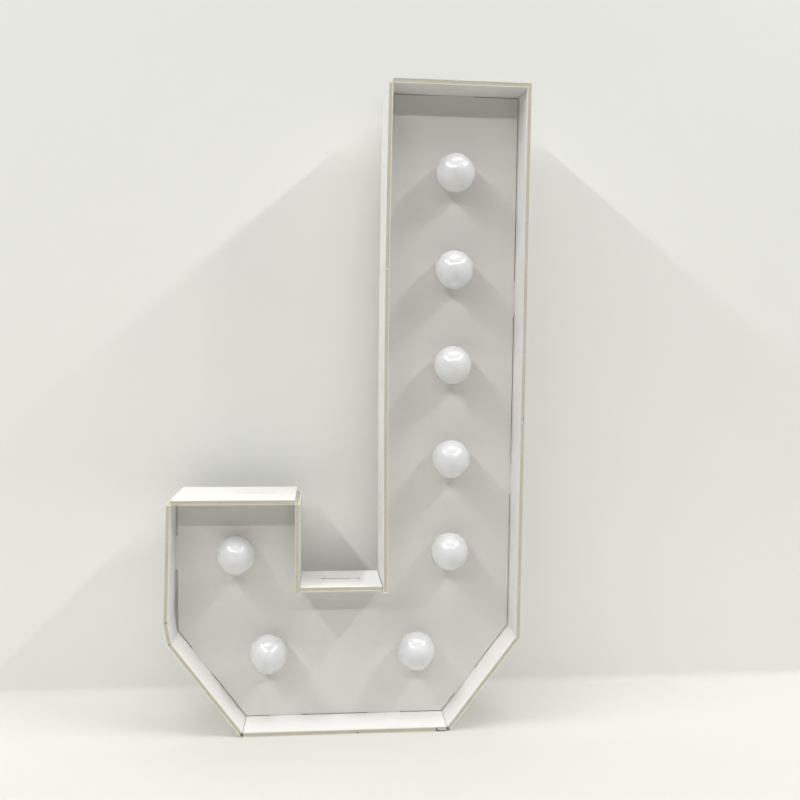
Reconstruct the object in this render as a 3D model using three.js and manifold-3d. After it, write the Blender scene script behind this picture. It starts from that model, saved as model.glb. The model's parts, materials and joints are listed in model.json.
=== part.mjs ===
// Light-up letter J: a tray of white foam board that stands on its foot, with eight round lamps.
// Lengths are in millimetres and angles in degrees. +Z is up and the open front faces -Y.

import * as THREE from 'three';
import { mergeVertices } from 'three/addons/utils/BufferGeometryUtils.js';
import Module from 'manifold-3d';

const wasm = await Module();
wasm.setup();

// Letter outline
const letterHeight = 914;
const letterWidth = 498;
const letterDepth = 110;
const stemWidth = 198;
const hookWidth = 183;
const hookHeight = 337;
const notchFloorHeight = 210;
const chamferWidth = 101;
const chamferHeight = 135;

// Foam board strips: where the long sides are pieced together and how they sit
const boardThickness = 6.5;
const stemRightJointHeight = 446.5;
const stemLeftJointHeight = 657;
const hookJointHeight = 166;
const hookJointBulge = 4.5;
const stemLeftBow = 2.5;
const notchFloorRise = 3.5;
const notchFloorShortfall = 1.2;
const baseEndLength = 15;
const baseEndTear = 1.6;

// Face panel and the tabs that carry the strips
const panelRecess = 53;
const panelEdgeGap = 1.5;
const tabLength = 50;
const tabLongestShare = 0.43;
const tabShortfall = 1.5;
const slotEndClearance = 3;
const slotSideClearance = 0.5;

// Lamp places
const stemLampCount = 5;
const topLampInset = 118;
const stemLowLampHeight = 253.5;
const hookLampHeight = 251.5;
const footLampHeight = 106.5;
const footLampInset = 47;

// Globe of a lamp
const globeRadius = 27.5;
const globeWall = 1.4;
const globeStandoff = 18;
const neckRadius = 16.6;
const neckWall = 1.7;
const lugCount = 3;
const lugReach = 1.6;
const lugThickness = 3;
const lugSweep = 24;
const twistAngle = 50;

// Holder of a lamp, behind the panel
const holderFlangeRadius = 25;
const holderFlangeThickness = 2;
const holderWall = 2.2;
const collarThickness = 4;
const lightBayDepth = 3;
const wireBayDepth = 8;
const wireBoreRadius = 2.4;
const ledgeWidth = 2.4;
const holderGussetCount = 3;
const holderGussetThickness = 1.6;

// Light board inside a holder
const lightBoardThickness = 1.6;
const lightDomeRadius = 4;
const lightDomeShoulderShares = [0.7, 0.8];
const lightDomeWallShare = 1 / 3;

// Battery box: three round cells side by side, stuck behind the panel
const cellCount = 3;
const cellRadius = 7.1;
const cellLength = 49.2;
const cellNubRadius = 2.7;
const cellNubLength = 1.3;
const cellClearance = 0.6;
const contactBayLength = 2.4;
const contactThickness = 0.5;
const contactWidth = 10;
const springBaseShare = 0.8;
const boxSideWall = 3.2;
const boxEndWall = 1.6;
const boxFloor = 1.6;
const boxCornerRadius = 2.5;
const switchBayHeight = 13;
const lidThickness = 2;
const lidTongueWidth = 1.4;
const lidTongueThickness = 0.9;
const gripCount = 4;
const gripInset = 5.2;
const gripLengthShare = 0.5;
const gripWidth = 1.2;
const gripDepth = 0.5;
const gripPitch = 2.6;
const tapeThickness = 1;
const tapeWidth = 12;
const boxCentreHeight = 112;

// Slide switch on the battery box
const switchTravel = 4;
const sliderLength = 7;
const sliderWidth = 5;
const sliderThickness = 1.5;
const knobLength = 3.6;
const knobWidth = 3;
const knobReach = 1.8;
const slotLipThickness = 1.2;

// Clearances shared by every piece
const seatGap = 0.3;
const turnClearance = 0.5;
const cutOverrun = 8;

// How many flat faces stand in for a round one
const globeSteps = 20;
const globeRings = 7;
const innerGlobeRings = 3;
const holderSteps = 16;
const lightBoardSteps = 12;
const cellSteps = 16;
const smallRoundSteps = 8;
const wireBoreSteps = 6;
const quarterSteps = 6;
const sliceStepSweep = 18;
const bowSteps = 6;

// Where the tabs sit: for each side a list for every board along it, in shares of that board
const tabShares = {
  base: [[0.2, 0.7]],
  footRight: [[0.35]],
  stemRight: [[0.72], [0.38]],
  stemTop: [[0.5]],
  stemLeft: [[0.5], [0.3, 0.77]],
  notchFloor: [[0.5]],
  hookRight: [[0.5]],
  hookTop: [[0.344]],
  hookLeft: [[0.48], []],
  footLeft: [[0.35]],
};
const jointHeights = {
  stemRight: stemRightJointHeight,
  stemLeft: stemLeftJointHeight,
  hookLeft: hookJointHeight,
};

const panelThickness = boardThickness;
const panelBack = panelRecess + panelThickness;
const stemLeftX = letterWidth - stemWidth;
const radians = THREE.MathUtils.degToRad;

// Points of the letter's outline are (x, z) pairs
const point = (x, z) => new THREE.Vector2(x, z);
const outwardOf = (direction) => point(direction.y, -direction.x);

// Moves every side of a closed outline inwards by the same distance
function inset(outline, distance) {
  return outline.map((corner, index) => {
    const before = outline.at(index - 1);
    const after = outline[(index + 1) % outline.length];
    const arriving = outwardOf(corner.clone().sub(before).normalize());
    const leaving = outwardOf(after.clone().sub(corner).normalize());
    const reach = distance / (1 + arriving.dot(leaving));
    return corner.clone().sub(arriving.add(leaving).multiplyScalar(reach));
  });
}

const silhouette = [
  point(chamferWidth, 0),
  point(letterWidth - chamferWidth, 0),
  point(letterWidth, chamferHeight),
  point(letterWidth, letterHeight),
  point(stemLeftX, letterHeight),
  point(stemLeftX, notchFloorHeight),
  point(hookWidth, notchFloorHeight),
  point(hookWidth, hookHeight),
  point(0, hookHeight),
  point(0, chamferHeight),
];
const sideNames = Object.keys(tabShares);
const innerCorners = inset(silhouette, boardThickness);
const [
  baseLeft,
  baseRight,
  chamferRight,
  stemTopRight,
  stemTopLeft,
  notchRight,
  notchLeft,
  hookTopRight,
  hookTopLeft,
  chamferLeft,
] = innerCorners;

// The tabs of one board, which runs from one end to the other. A short board gets shorter tabs.
function tabsBetween(from, to, shares) {
  const length = Math.min(tabLength, from.distanceTo(to) * tabLongestShare);
  return shares.map((share) => ({ middle: from.clone().lerp(to, share), length }));
}

// A side runs along the inner faces of its boards from one corner to the next
function sideAt(index) {
  const name = sideNames[index];
  const from = innerCorners[index];
  const to = innerCorners[(index + 1) % innerCorners.length];
  const direction = to.clone().sub(from).normalize();
  const joints = name in jointHeights ? [point(from.x, jointHeights[name])] : [];
  const stops = [from, ...joints, to];
  const tabs = tabShares[name].flatMap((shares, run) => tabsBetween(stops[run], stops[run + 1], shares));
  return { direction, outward: outwardOf(direction), tabs };
}
const sides = Object.fromEntries(sideNames.map((name, index) => [name, sideAt(index)]));

// Solids and meshes
function solidFrom(geometry) {
  geometry.deleteAttribute('normal');
  geometry.deleteAttribute('uv');
  const merged = mergeVertices(geometry);
  const corners = merged.index.array;
  const kept = [];
  for (let i = 0; i < corners.length; i += 3) {
    const [a, b, c] = corners.slice(i, i + 3);
    if (a !== b && b !== c && c !== a) kept.push(a, b, c);
  }
  return new wasm.Manifold(new wasm.Mesh({
    numProp: 3,
    vertProperties: merged.attributes.position.array,
    triVerts: new Uint32Array(kept),
  }));
}

function geometryFrom(solid) {
  const { vertProperties, triVerts } = solid.getMesh();
  const geometry = new THREE.BufferGeometry();
  geometry.setAttribute('position', new THREE.BufferAttribute(vertProperties, 3));
  geometry.setIndex(new THREE.BufferAttribute(triVerts, 1));
  geometry.computeVertexNormals();
  return geometry;
}

const cutAll = (solid, cutters) => cutters.reduce((left, cutter) => left.subtract(cutter), solid);
const joinAll = (solid, pieces) => pieces.reduce((whole, piece) => whole.add(piece), solid);

// A box that spans the given limits, as a geometry
function boxBetween(x0, x1, y0, y1, z0, z1) {
  const geometry = new THREE.BoxGeometry(x1 - x0, y1 - y0, z1 - z0);
  return geometry.translate((x0 + x1) / 2, (y0 + y1) / 2, (z0 + z1) / 2);
}

// Extrudes an outline drawn in X and Z from the front depth to the rear depth
function extrudeBetween(outline, front, rear, curveSegments = quarterSteps) {
  const shape = outline instanceof THREE.Shape ? outline : new THREE.Shape(outline);
  const settings = { depth: rear - front, bevelEnabled: false, curveSegments };
  return new THREE.ExtrudeGeometry(shape, settings).rotateX(Math.PI / 2).translate(0, rear, 0);
}

// A round profile of (radius, depth) points turned about the Y axis
function revolve(profile, steps) {
  return new THREE.LatheGeometry(profile.map(([radius, depth]) => point(radius, depth)), steps);
}

function meshOf(name, geometry, material) {
  const mesh = new THREE.Mesh(geometry, material);
  mesh.name = name;
  return mesh;
}

const finish = (color, roughness, metalness = 0) =>
  new THREE.MeshStandardMaterial({ color, roughness, metalness });
const foamBoardFinish = () => finish(0xf1efe9, 0.75);
const panelFinish = () => finish(0xe9e6e2, 0.72);
const globeFinish = () => finish(0xf7f7f5, 0.12);
const holderFinish = () => finish(0xf0f0ee, 0.4);
const lightBoardFinish = () => finish(0xf5f4ec, 0.45);
const boxFinish = () => finish(0x1d1d1f, 0.55);
const switchFinish = () => finish(0x2c2c2e, 0.5);
const cellFinish = () => finish(0x8f9296, 0.35, 0.6);
const contactFinish = () => finish(0xb9bcc0, 0.3, 1);
const tapeFinish = () => finish(0xdedcd4, 0.9);

// Foam board strips stand on their long edges. Each has square ends, so it leaves an open
// notch outside every corner, and it is cut where the panel's tabs come through.
function trimmed(path) {
  const towards = (from, to) => from.clone().add(to.clone().sub(from).setLength(seatGap));
  return [towards(path[0], path[1]), ...path.slice(1, -1), towards(path.at(-1), path.at(-2))];
}

function outerPath(path) {
  const normals = path.slice(1).map((end, index) => outwardOf(end.clone().sub(path[index]).normalize()));
  return path.map((corner, index) => {
    const arriving = normals[Math.max(index - 1, 0)];
    const leaving = normals[Math.min(index, normals.length - 1)];
    const reach = boardThickness / (1 + arriving.dot(leaving));
    return corner.clone().add(arriving.clone().add(leaving).multiplyScalar(reach));
  });
}

function slotCutter(side, tab) {
  const length = tab.length + 2 * slotEndClearance;
  const width = panelThickness + 2 * slotSideClearance;
  const middle = tab.middle.clone().addScaledVector(side.outward, boardThickness / 2);
  const box = new THREE.BoxGeometry(length, width, boardThickness + 2 * cutOverrun);
  box.rotateY(-side.direction.angle());
  return solidFrom(box.translate(middle.x, panelRecess + panelThickness / 2, middle.y));
}

function stripSolid(path, side) {
  const ends = trimmed(path);
  const strip = solidFrom(extrudeBetween([...ends, ...outerPath(ends).reverse()], 0, letterDepth));
  return cutAll(strip, side.tabs.map((tab) => slotCutter(side, tab)));
}

const board = (name, path, side) => meshOf(name, geometryFrom(stripSolid(path, side)), foamBoardFinish());

// The stem's left side bows out between its ends, over both of its boards
function bowedPath(topHeight, lowHeight) {
  const sideLength = stemTopLeft.y - notchRight.y;
  return Array.from({ length: bowSteps + 1 }, (_, step) => {
    const height = topHeight + (lowHeight - topHeight) * (step / bowSteps);
    const across = (2 * (height - notchRight.y)) / sideLength - 1;
    return point(stemTopLeft.x - stemLeftBow * (1 - across ** 2), height);
  });
}

// The strip on the right is one board, scored and folded at the chamfer
function foldedBoard() {
  const path = [baseRight, chamferRight, point(chamferRight.x, stemRightJointHeight)];
  const upright = stripSolid(path, sides.stemRight);
  const cutters = sides.footRight.tabs.map((tab) => slotCutter(sides.footRight, tab));
  return meshOf('stem_right_folded_board', geometryFrom(cutAll(upright, cutters)), foamBoardFinish());
}

// The notch floor sits between the two uprights and leans back
function notchFloorBoard() {
  const from = point(stemLeftX - notchFloorShortfall, notchRight.y);
  const to = point(hookWidth, notchLeft.y);
  const strip = stripSolid([from, to], sides.notchFloor);
  const geometry = geometryFrom(strip);
  const middleHeight = notchRight.y + boardThickness / 2;
  geometry.translate(0, -letterDepth / 2, -middleHeight);
  const mesh = meshOf('notch_floor_board', geometry, foamBoardFinish());
  mesh.position.set(0, letterDepth / 2, middleHeight);
  mesh.rotation.x = -Math.atan(notchFloorRise / (letterDepth / 2));
  return mesh;
}

// The last stretch of the base is a separate offcut with a torn lower corner
function baseEndBoard() {
  const from = point(baseRight.x - baseEndLength, baseRight.y);
  const [start, end] = trimmed([from, baseRight]);
  const outline = [
    start,
    end,
    point(end.x, baseEndTear),
    point(start.x + 2 * baseEndTear, baseEndTear / 2),
    point(start.x, 3 * baseEndTear),
  ];
  return meshOf('base_end_board', extrudeBetween(outline, 0, letterDepth), foamBoardFinish());
}

function boards() {
  const hookJoint = point(hookTopLeft.x - hookJointBulge, hookJointHeight);
  const baseJoint = point(baseRight.x - baseEndLength, baseRight.y);
  const stemRightJoint = point(stemTopRight.x, stemRightJointHeight);
  const topRightEnd = point(letterWidth, stemTopRight.y);
  return [
    board('base_board', [baseLeft, baseJoint], sides.base),
    baseEndBoard(),
    foldedBoard(),
    board('stem_right_upper_board', [stemRightJoint, stemTopRight], sides.stemRight),
    board('stem_top_board', [topRightEnd, stemTopLeft], sides.stemTop),
    board('stem_left_upper_board', bowedPath(stemTopLeft.y, stemLeftJointHeight), sides.stemLeft),
    board('stem_left_lower_board', bowedPath(stemLeftJointHeight, notchRight.y), sides.stemLeft),
    notchFloorBoard(),
    board('hook_right_board', [notchLeft, hookTopRight], sides.hookRight),
    board('hook_top_board', [hookTopRight, hookTopLeft], sides.hookTop),
    board('hook_left_upper_board', [hookTopLeft, hookJoint], sides.hookLeft),
    board('hook_left_lower_board', [hookJoint, chamferLeft], sides.hookLeft),
    board('foot_left_board', [chamferLeft, baseLeft], sides.footLeft),
  ];
}

// Lamps stand on the centre lines of the stem and the hook and cut both corners of the foot
const neckBoreRadius = neckRadius + lugReach + turnClearance;

function lampPlaces() {
  const stemX = letterWidth - stemWidth / 2;
  const hookX = hookWidth / 2;
  const topHeight = letterHeight - topLampInset;
  const drop = (topHeight - stemLowLampHeight) / (stemLampCount - 1);
  return [
    ...Array.from({ length: stemLampCount }, (_, index) => point(stemX, topHeight - index * drop)),
    point(stemX - footLampInset, footLampHeight),
    point(hookX + footLampInset, footLampHeight),
    point(hookX, hookLampHeight),
  ];
}

// The face panel is one J-shaped board, held at its tabs and bored for every lamp
function panelOutline() {
  const corners = inset(silhouette, boardThickness + panelEdgeGap);
  return corners.flatMap((corner, index) => {
    const { direction, outward, tabs } = sides[sideNames[index]];
    const at = (tab, end, out) =>
      tab.middle.clone().addScaledVector(direction, end * tab.length / 2).addScaledVector(outward, out);
    const reach = boardThickness - tabShortfall;
    const tabPoints = tabs.flatMap((tab) => [
      at(tab, -1, -panelEdgeGap),
      at(tab, -1, reach),
      at(tab, 1, reach),
      at(tab, 1, -panelEdgeGap),
    ]);
    return [corner, ...tabPoints];
  });
}

function facePanel() {
  const shape = new THREE.Shape(panelOutline());
  shape.holes = lampPlaces().map((place) => {
    const hole = new THREE.Path();
    hole.absarc(place.x, place.y, neckBoreRadius, 0, 2 * Math.PI, true);
    return hole;
  });
  const geometry = extrudeBetween(shape, panelRecess, panelBack, 2 * quarterSteps);
  return meshOf('face_panel', geometry, panelFinish());
}

// Lamp: depths are measured from the panel's front face, towards the rear
const collarFront = panelThickness + seatGap;
const lugFront = collarFront + collarThickness + seatGap;
const neckEnd = lugFront + lugThickness;
const lightBayFront = neckEnd + turnClearance;
const ledgeDepth = lightBayFront + lightBayDepth;
const wireBayEnd = ledgeDepth + wireBayDepth;
const lightBayRadius = neckRadius - neckWall;
const barrelRadius = neckBoreRadius + holderWall;

// A slice of a ring about the Y axis, between two angles
function ringSlice(innerRadius, outerRadius, front, rear, middleAngle, sweep) {
  const start = radians(middleAngle - sweep / 2);
  const end = radians(middleAngle + sweep / 2);
  const shape = new THREE.Shape();
  shape.absarc(0, 0, outerRadius, start, end, false);
  shape.absarc(0, 0, innerRadius, end, start, true);
  return solidFrom(extrudeBetween(shape, front, rear, Math.ceil(sweep / sliceStepSweep) / 2));
}

const lugAngles = Array.from({ length: lugCount }, (_, index) => (360 / lugCount) * index);

// A thin round shell with a neck, whose lugs lock behind the holder's collar
function globeSolid() {
  const seatRadius = Math.sqrt(globeRadius ** 2 - (globeStandoff - seatGap) ** 2);
  const innerRadius = globeRadius - globeWall;
  const neckInner = neckRadius - neckWall;
  const arc = (radius, endRadius, rings) => {
    const sweep = Math.PI - Math.asin(endRadius / radius);
    return Array.from({ length: rings + 1 }, (_, ring) => {
      const angle = (sweep * ring) / rings;
      return [radius * Math.sin(angle), -globeStandoff - radius * Math.cos(angle)];
    });
  };
  const profile = [
    ...arc(globeRadius, seatRadius, globeRings),
    [neckRadius, -seatGap],
    [neckRadius, neckEnd],
    [neckInner, neckEnd],
    ...arc(innerRadius, neckInner, innerGlobeRings).reverse(),
  ];
  const lugs = lugAngles.map((angle) =>
    ringSlice(neckRadius - neckWall / 2, neckRadius + lugReach, lugFront, neckEnd, angle, lugSweep));
  return joinAll(solidFrom(revolve(profile, globeSteps)), lugs);
}

// Each lug enters through a gate in the collar and turns along a track to its stop
function lockCutters() {
  const clearance = THREE.MathUtils.radToDeg(turnClearance / neckRadius);
  const gateSweep = lugSweep + 2 * clearance;
  const front = collarFront - cutOverrun;
  const reach = [lightBayRadius, neckBoreRadius];
  return lugAngles.flatMap((angle) => [
    ringSlice(...reach, front, lightBayFront, angle + twistAngle, gateSweep),
    ringSlice(...reach, lugFront - seatGap, lightBayFront, angle + twistAngle / 2, gateSweep + twistAngle),
  ]);
}

function wireBore() {
  const length = 2 * barrelRadius + 2 * cutOverrun;
  const bore = new THREE.CylinderGeometry(wireBoreRadius, wireBoreRadius, length, wireBoreSteps);
  return solidFrom(bore.rotateX(Math.PI / 2).translate(0, wireBayEnd - wireBayDepth / 2, 0));
}

// Webs brace the flange against the barrel
function gusset(index) {
  const depth = (wireBayEnd - collarFront) / 2;
  const inner = barrelRadius - holderWall / 2;
  const outline = [
    point(inner, collarFront + holderFlangeThickness / 2),
    point(holderFlangeRadius - seatGap, collarFront + holderFlangeThickness / 2),
    point(inner, collarFront + depth),
  ];
  const settings = { depth: holderGussetThickness, bevelEnabled: false };
  const web = new THREE.ExtrudeGeometry(new THREE.Shape(outline), settings);
  web.translate(0, 0, -holderGussetThickness / 2);
  return solidFrom(web.rotateY((2 * Math.PI * (index + 1 / 2)) / holderGussetCount));
}

function holderSolid() {
  const boreRadius = neckRadius + turnClearance;
  const profile = [
    [0, wireBayEnd],
    [lightBayRadius - ledgeWidth, wireBayEnd],
    [lightBayRadius - ledgeWidth, ledgeDepth],
    [lightBayRadius, ledgeDepth],
    [lightBayRadius, lightBayFront],
    [boreRadius, lightBayFront],
    [boreRadius, collarFront],
    [holderFlangeRadius, collarFront],
    [holderFlangeRadius, collarFront + holderFlangeThickness],
    [barrelRadius, collarFront + holderFlangeThickness],
    [barrelRadius, wireBayEnd],
    [barrelRadius - holderWall, wireBayEnd + holderWall],
    [0, wireBayEnd + holderWall],
  ];
  const gussets = Array.from({ length: holderGussetCount }, (_, index) => gusset(index));
  const body = joinAll(solidFrom(revolve(profile, holderSteps)), gussets);
  return cutAll(body, [...lockCutters(), wireBore()]);
}

// A round plate with one light under a small dome, resting on the holder's ledge
function lightBoardGeometry() {
  const radius = lightBayRadius - turnClearance;
  const rear = ledgeDepth - seatGap;
  const front = rear - lightBoardThickness;
  const [shoulderRadius, shoulderRise] = lightDomeShoulderShares.map((share) => share * lightDomeRadius);
  return revolve([
    [0, front - lightDomeRadius],
    [shoulderRadius, front - shoulderRise],
    [lightDomeRadius, front - lightDomeRadius * lightDomeWallShare],
    [lightDomeRadius, front],
    [radius, front],
    [radius, rear],
    [0, rear],
  ], lightBoardSteps);
}

function lamps() {
  const globe = geometryFrom(globeSolid());
  const holder = geometryFrom(holderSolid());
  const lightBoard = lightBoardGeometry();
  return lampPlaces().map((place, index) => {
    const number = index + 1;
    const lamp = new THREE.Group();
    lamp.position.set(place.x, panelRecess, place.y);
    lamp.add(meshOf(`globe_${number}`, globe, globeFinish()));
    lamp.add(meshOf(`lamp_holder_${number}`, holder, holderFinish()));
    lamp.add(meshOf(`light_board_${number}`, lightBoard, lightBoardFinish()));
    return lamp;
  });
}

// Battery box: X is across the cells, Z along them, and depths start at the box's floor
const cellPitch = 2 * cellRadius + cellClearance;
const bayWidth = cellCount * cellPitch + cellClearance;
const bayLength = cellLength + cellNubLength + 2 * contactBayLength;
const boxWidth = bayWidth + 2 * boxSideWall;
const boxHeight = bayLength + 2 * boxEndWall + switchBayHeight;
const cellDepth = boxFloor + cellClearance + cellRadius;
const lidDepth = cellDepth + cellRadius + cellClearance;
const boxDepth = lidDepth + lidThickness;
const bayLow = -boxHeight / 2 + switchBayHeight + boxEndWall;
const bayHigh = bayLow + bayLength;
const lidLow = -boxHeight / 2 + switchBayHeight;
const switchHeight = -boxHeight / 2 + switchBayHeight / 2;
const cellX = (index) => (index - (cellCount - 1) / 2) * cellPitch;

// The lid's section is a plate with a tongue along each edge, grown by a clearance for its track
function lidOutline(clearance) {
  const tongue = bayWidth / 2 + lidTongueWidth + clearance;
  const face = bayWidth / 2 + clearance;
  const step = lidDepth + lidTongueThickness + clearance;
  const low = lidDepth - clearance;
  return [
    point(-tongue, low),
    point(tongue, low),
    point(tongue, step),
    point(face, step),
    point(face, boxDepth),
    point(-face, boxDepth),
    point(-face, step),
    point(-tongue, step),
  ];
}

function extrudeUp(outline, low, high) {
  const settings = { depth: high - low, bevelEnabled: false };
  return new THREE.ExtrudeGeometry(new THREE.Shape(outline), settings).translate(0, 0, low);
}

function roundedBlock() {
  const [halfWidth, halfHeight] = [boxWidth / 2, boxHeight / 2];
  const corner = boxCornerRadius;
  const shape = new THREE.Shape();
  shape.absarc(halfWidth - corner, halfHeight - corner, corner, 0, Math.PI / 2);
  shape.absarc(corner - halfWidth, halfHeight - corner, corner, Math.PI / 2, Math.PI);
  shape.absarc(corner - halfWidth, corner - halfHeight, corner, Math.PI, Math.PI * 1.5);
  shape.absarc(halfWidth - corner, corner - halfHeight, corner, Math.PI * 1.5, Math.PI * 2);
  return solidFrom(extrudeBetween(shape, 0, boxDepth, 2));
}

// Each cell lies in a round trough that opens to the rear
function cellTrough(index) {
  const radius = cellRadius + cellClearance;
  const trough = new THREE.CylinderGeometry(radius, radius, bayLength, cellSteps);
  trough.rotateX(Math.PI / 2).translate(cellX(index), cellDepth, (bayLow + bayHigh) / 2);
  return solidFrom(trough);
}

function switchCutters() {
  const halfLength = (sliderLength + switchTravel) / 2 + seatGap;
  const halfWidth = sliderWidth / 2 + seatGap;
  const halfSlotLength = (knobLength + switchTravel) / 2 + seatGap;
  const halfSlotWidth = knobWidth / 2 + seatGap;
  const rear = boxDepth - slotLipThickness;
  const front = rear - sliderThickness - 2 * seatGap;
  return [
    boxBetween(-halfLength, halfLength, front, rear, switchHeight - halfWidth, switchHeight + halfWidth),
    boxBetween(
      -halfSlotLength,
      halfSlotLength,
      rear - seatGap,
      boxDepth + cutOverrun,
      switchHeight - halfSlotWidth,
      switchHeight + halfSlotWidth,
    ),
  ].map(solidFrom);
}

function boxWireBore() {
  const bore = new THREE.CylinderGeometry(wireBoreRadius, wireBoreRadius, switchBayHeight, wireBoreSteps);
  bore.rotateX(Math.PI / 2).translate(boxWidth / 2 - switchBayHeight / 2, boxDepth / 2, -boxHeight / 2);
  return solidFrom(bore);
}

function batteryHousing() {
  const openBay = boxBetween(-bayWidth / 2, bayWidth / 2, cellDepth, boxDepth, bayLow, bayHigh);
  const track = extrudeUp(lidOutline(seatGap), lidLow, boxHeight / 2 + cutOverrun);
  const slot = boxBetween(
    -bayWidth / 2 - seatGap,
    bayWidth / 2 + seatGap,
    boxDepth - lidThickness / 2,
    boxDepth + cutOverrun,
    lidLow,
    boxHeight / 2 + cutOverrun,
  );
  const troughs = Array.from({ length: cellCount }, (_, index) => cellTrough(index));
  const cutters = [solidFrom(openBay), solidFrom(track), solidFrom(slot), ...troughs];
  const housing = cutAll(roundedBlock(), [...cutters, ...switchCutters(), boxWireBore()]);
  return meshOf('battery_housing', geometryFrom(housing), boxFinish());
}

function batteryLid() {
  const low = lidLow + seatGap;
  const plate = solidFrom(extrudeUp(lidOutline(0), low, boxHeight / 2));
  const halfGrip = (gripLengthShare * bayWidth) / 2;
  const grips = Array.from({ length: gripCount }, (_, index) => {
    const start = low + gripInset + gripPitch * index;
    return solidFrom(boxBetween(
      -halfGrip,
      halfGrip,
      boxDepth - gripDepth,
      boxDepth + cutOverrun,
      start,
      start + gripWidth,
    ));
  });
  return meshOf('battery_lid', geometryFrom(cutAll(plate, grips)), boxFinish());
}

// The slider rests at the end of its slot, on the side where the lamps are off
function switchSlider() {
  const middle = -switchTravel / 2;
  const rear = boxDepth - slotLipThickness - seatGap;
  const [halfLength, halfWidth] = [sliderLength / 2, sliderWidth / 2];
  const plate = boxBetween(
    middle - halfLength,
    middle + halfLength,
    rear - sliderThickness,
    rear,
    switchHeight - halfWidth,
    switchHeight + halfWidth,
  );
  const halfKnob = knobLength / 2;
  const knobOutline = [
    point(middle - halfKnob, rear - sliderThickness / 2),
    point(middle + halfKnob, rear - sliderThickness / 2),
    point(middle + halfKnob, boxDepth + knobReach / 2),
    point(middle + halfKnob / 2, boxDepth + knobReach),
    point(middle - halfKnob / 2, boxDepth + knobReach),
    point(middle - halfKnob, boxDepth + knobReach / 2),
  ];
  const knob = extrudeUp(knobOutline, switchHeight - knobWidth / 2, switchHeight + knobWidth / 2);
  const solid = solidFrom(plate).add(solidFrom(knob));
  return meshOf('switch_slider', geometryFrom(solid), switchFinish());
}

// Neighbouring cells lie head to tail
const isNubUp = (index) => index % 2 === 0;

function cell(index) {
  const profile = [
    [0, 0],
    [cellRadius, 0],
    [cellRadius, cellLength],
    [cellNubRadius, cellLength],
    [cellNubRadius, cellLength + cellNubLength],
    [0, cellLength + cellNubLength],
  ];
  const mesh = meshOf(`battery_cell_${index + 1}`, revolve(profile, cellSteps), cellFinish());
  const start = isNubUp(index) ? bayLow + contactBayLength : bayHigh - contactBayLength;
  mesh.position.set(cellX(index), cellDepth, start);
  mesh.rotation.x = isNubUp(index) ? Math.PI / 2 : -Math.PI / 2;
  return mesh;
}

// A contact stands against an end wall: a plate and a pressed cone for each of its cells,
// with a strap between the plates where it joins two cells
function contact(number, firstCell, lastCell, isUpper) {
  const inwards = isUpper ? -1 : 1;
  const wall = isUpper ? bayHigh : bayLow;
  const near = wall + inwards * seatGap;
  const far = near + inwards * contactThickness;
  const tip = wall + inwards * (contactBayLength - seatGap);
  const halfWidth = contactWidth / 2;
  const plateBetween = (x0, x1, front) => solidFrom(boxBetween(
    x0,
    x1,
    front,
    cellDepth + halfWidth,
    Math.min(near, far),
    Math.max(near, far),
  ));
  const strap = plateBetween(cellX(firstCell), cellX(lastCell) + halfWidth, cellDepth + seatGap);
  const seats = [];
  for (let index = firstCell; index <= lastCell; index += 1) {
    const x = cellX(index);
    const height = Math.abs(tip - near);
    const cone = new THREE.CylinderGeometry(cellNubRadius, halfWidth * springBaseShare, height, smallRoundSteps);
    cone.rotateX((inwards * Math.PI) / 2).translate(x, cellDepth, (near + tip) / 2);
    seats.push(plateBetween(x - halfWidth, x + halfWidth, cellDepth - halfWidth), solidFrom(cone));
  }
  return meshOf(`battery_contact_${number}`, geometryFrom(joinAll(strap, seats)), contactFinish());
}

function contacts() {
  const last = cellCount - 1;
  const made = [];
  for (let first = 0; first < cellCount; first += 2) {
    made.push(contact(made.length + 1, first, Math.min(first + 1, last), false));
  }
  made.push(contact(made.length + 1, 0, 0, true));
  for (let first = 1; first < cellCount; first += 2) {
    made.push(contact(made.length + 1, first, Math.min(first + 1, last), true));
  }
  return made;
}

function tapeStrip(name, x) {
  const halfLength = boxHeight / 2 - boxCornerRadius;
  const front = -seatGap - tapeThickness;
  const strip = boxBetween(x - tapeWidth / 2, x + tapeWidth / 2, front, -seatGap, -halfLength, halfLength);
  return meshOf(name, strip, tapeFinish());
}

function batteryBox() {
  const group = new THREE.Group();
  const middleX = (hookWidth / 2 + letterWidth - stemWidth / 2) / 2;
  group.position.set(middleX, panelBack + tapeThickness + 2 * seatGap, boxCentreHeight);
  const tapeX = boxWidth / 2 - boxCornerRadius - tapeWidth / 2;
  group.add(tapeStrip('tape_strip_1', -tapeX), tapeStrip('tape_strip_2', tapeX));
  group.add(batteryHousing(), batteryLid(), switchSlider(), ...contacts());
  group.add(...Array.from({ length: cellCount }, (_, index) => cell(index)));
  return group;
}

// The letter stands with the middle of its footprint on the origin
const letter = new THREE.Group();
const pieces = new THREE.Group();
pieces.add(facePanel(), ...boards(), ...lamps(), batteryBox());
letter.add(pieces);
const bounds = new THREE.Box3().setFromObject(pieces);
const middle = bounds.getCenter(new THREE.Vector3());
pieces.position.set(-middle.x, -middle.y, -bounds.min.z);

export default letter;
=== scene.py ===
# %% [markdown]
# # A light-up letter, dressed for its portrait
# The object is a standing letter J, as tall as a small child. It is a tray of white foam board:
# a face panel set halfway back, strips of the same board standing on edge around it, and eight
# round lamps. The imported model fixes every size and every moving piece. This notebook adds what
# the eye reads: paper, foam, moulded plastic and light.

import json
import math

import bmesh
import bpy
from mathutils import Matrix, Vector, noise

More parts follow.
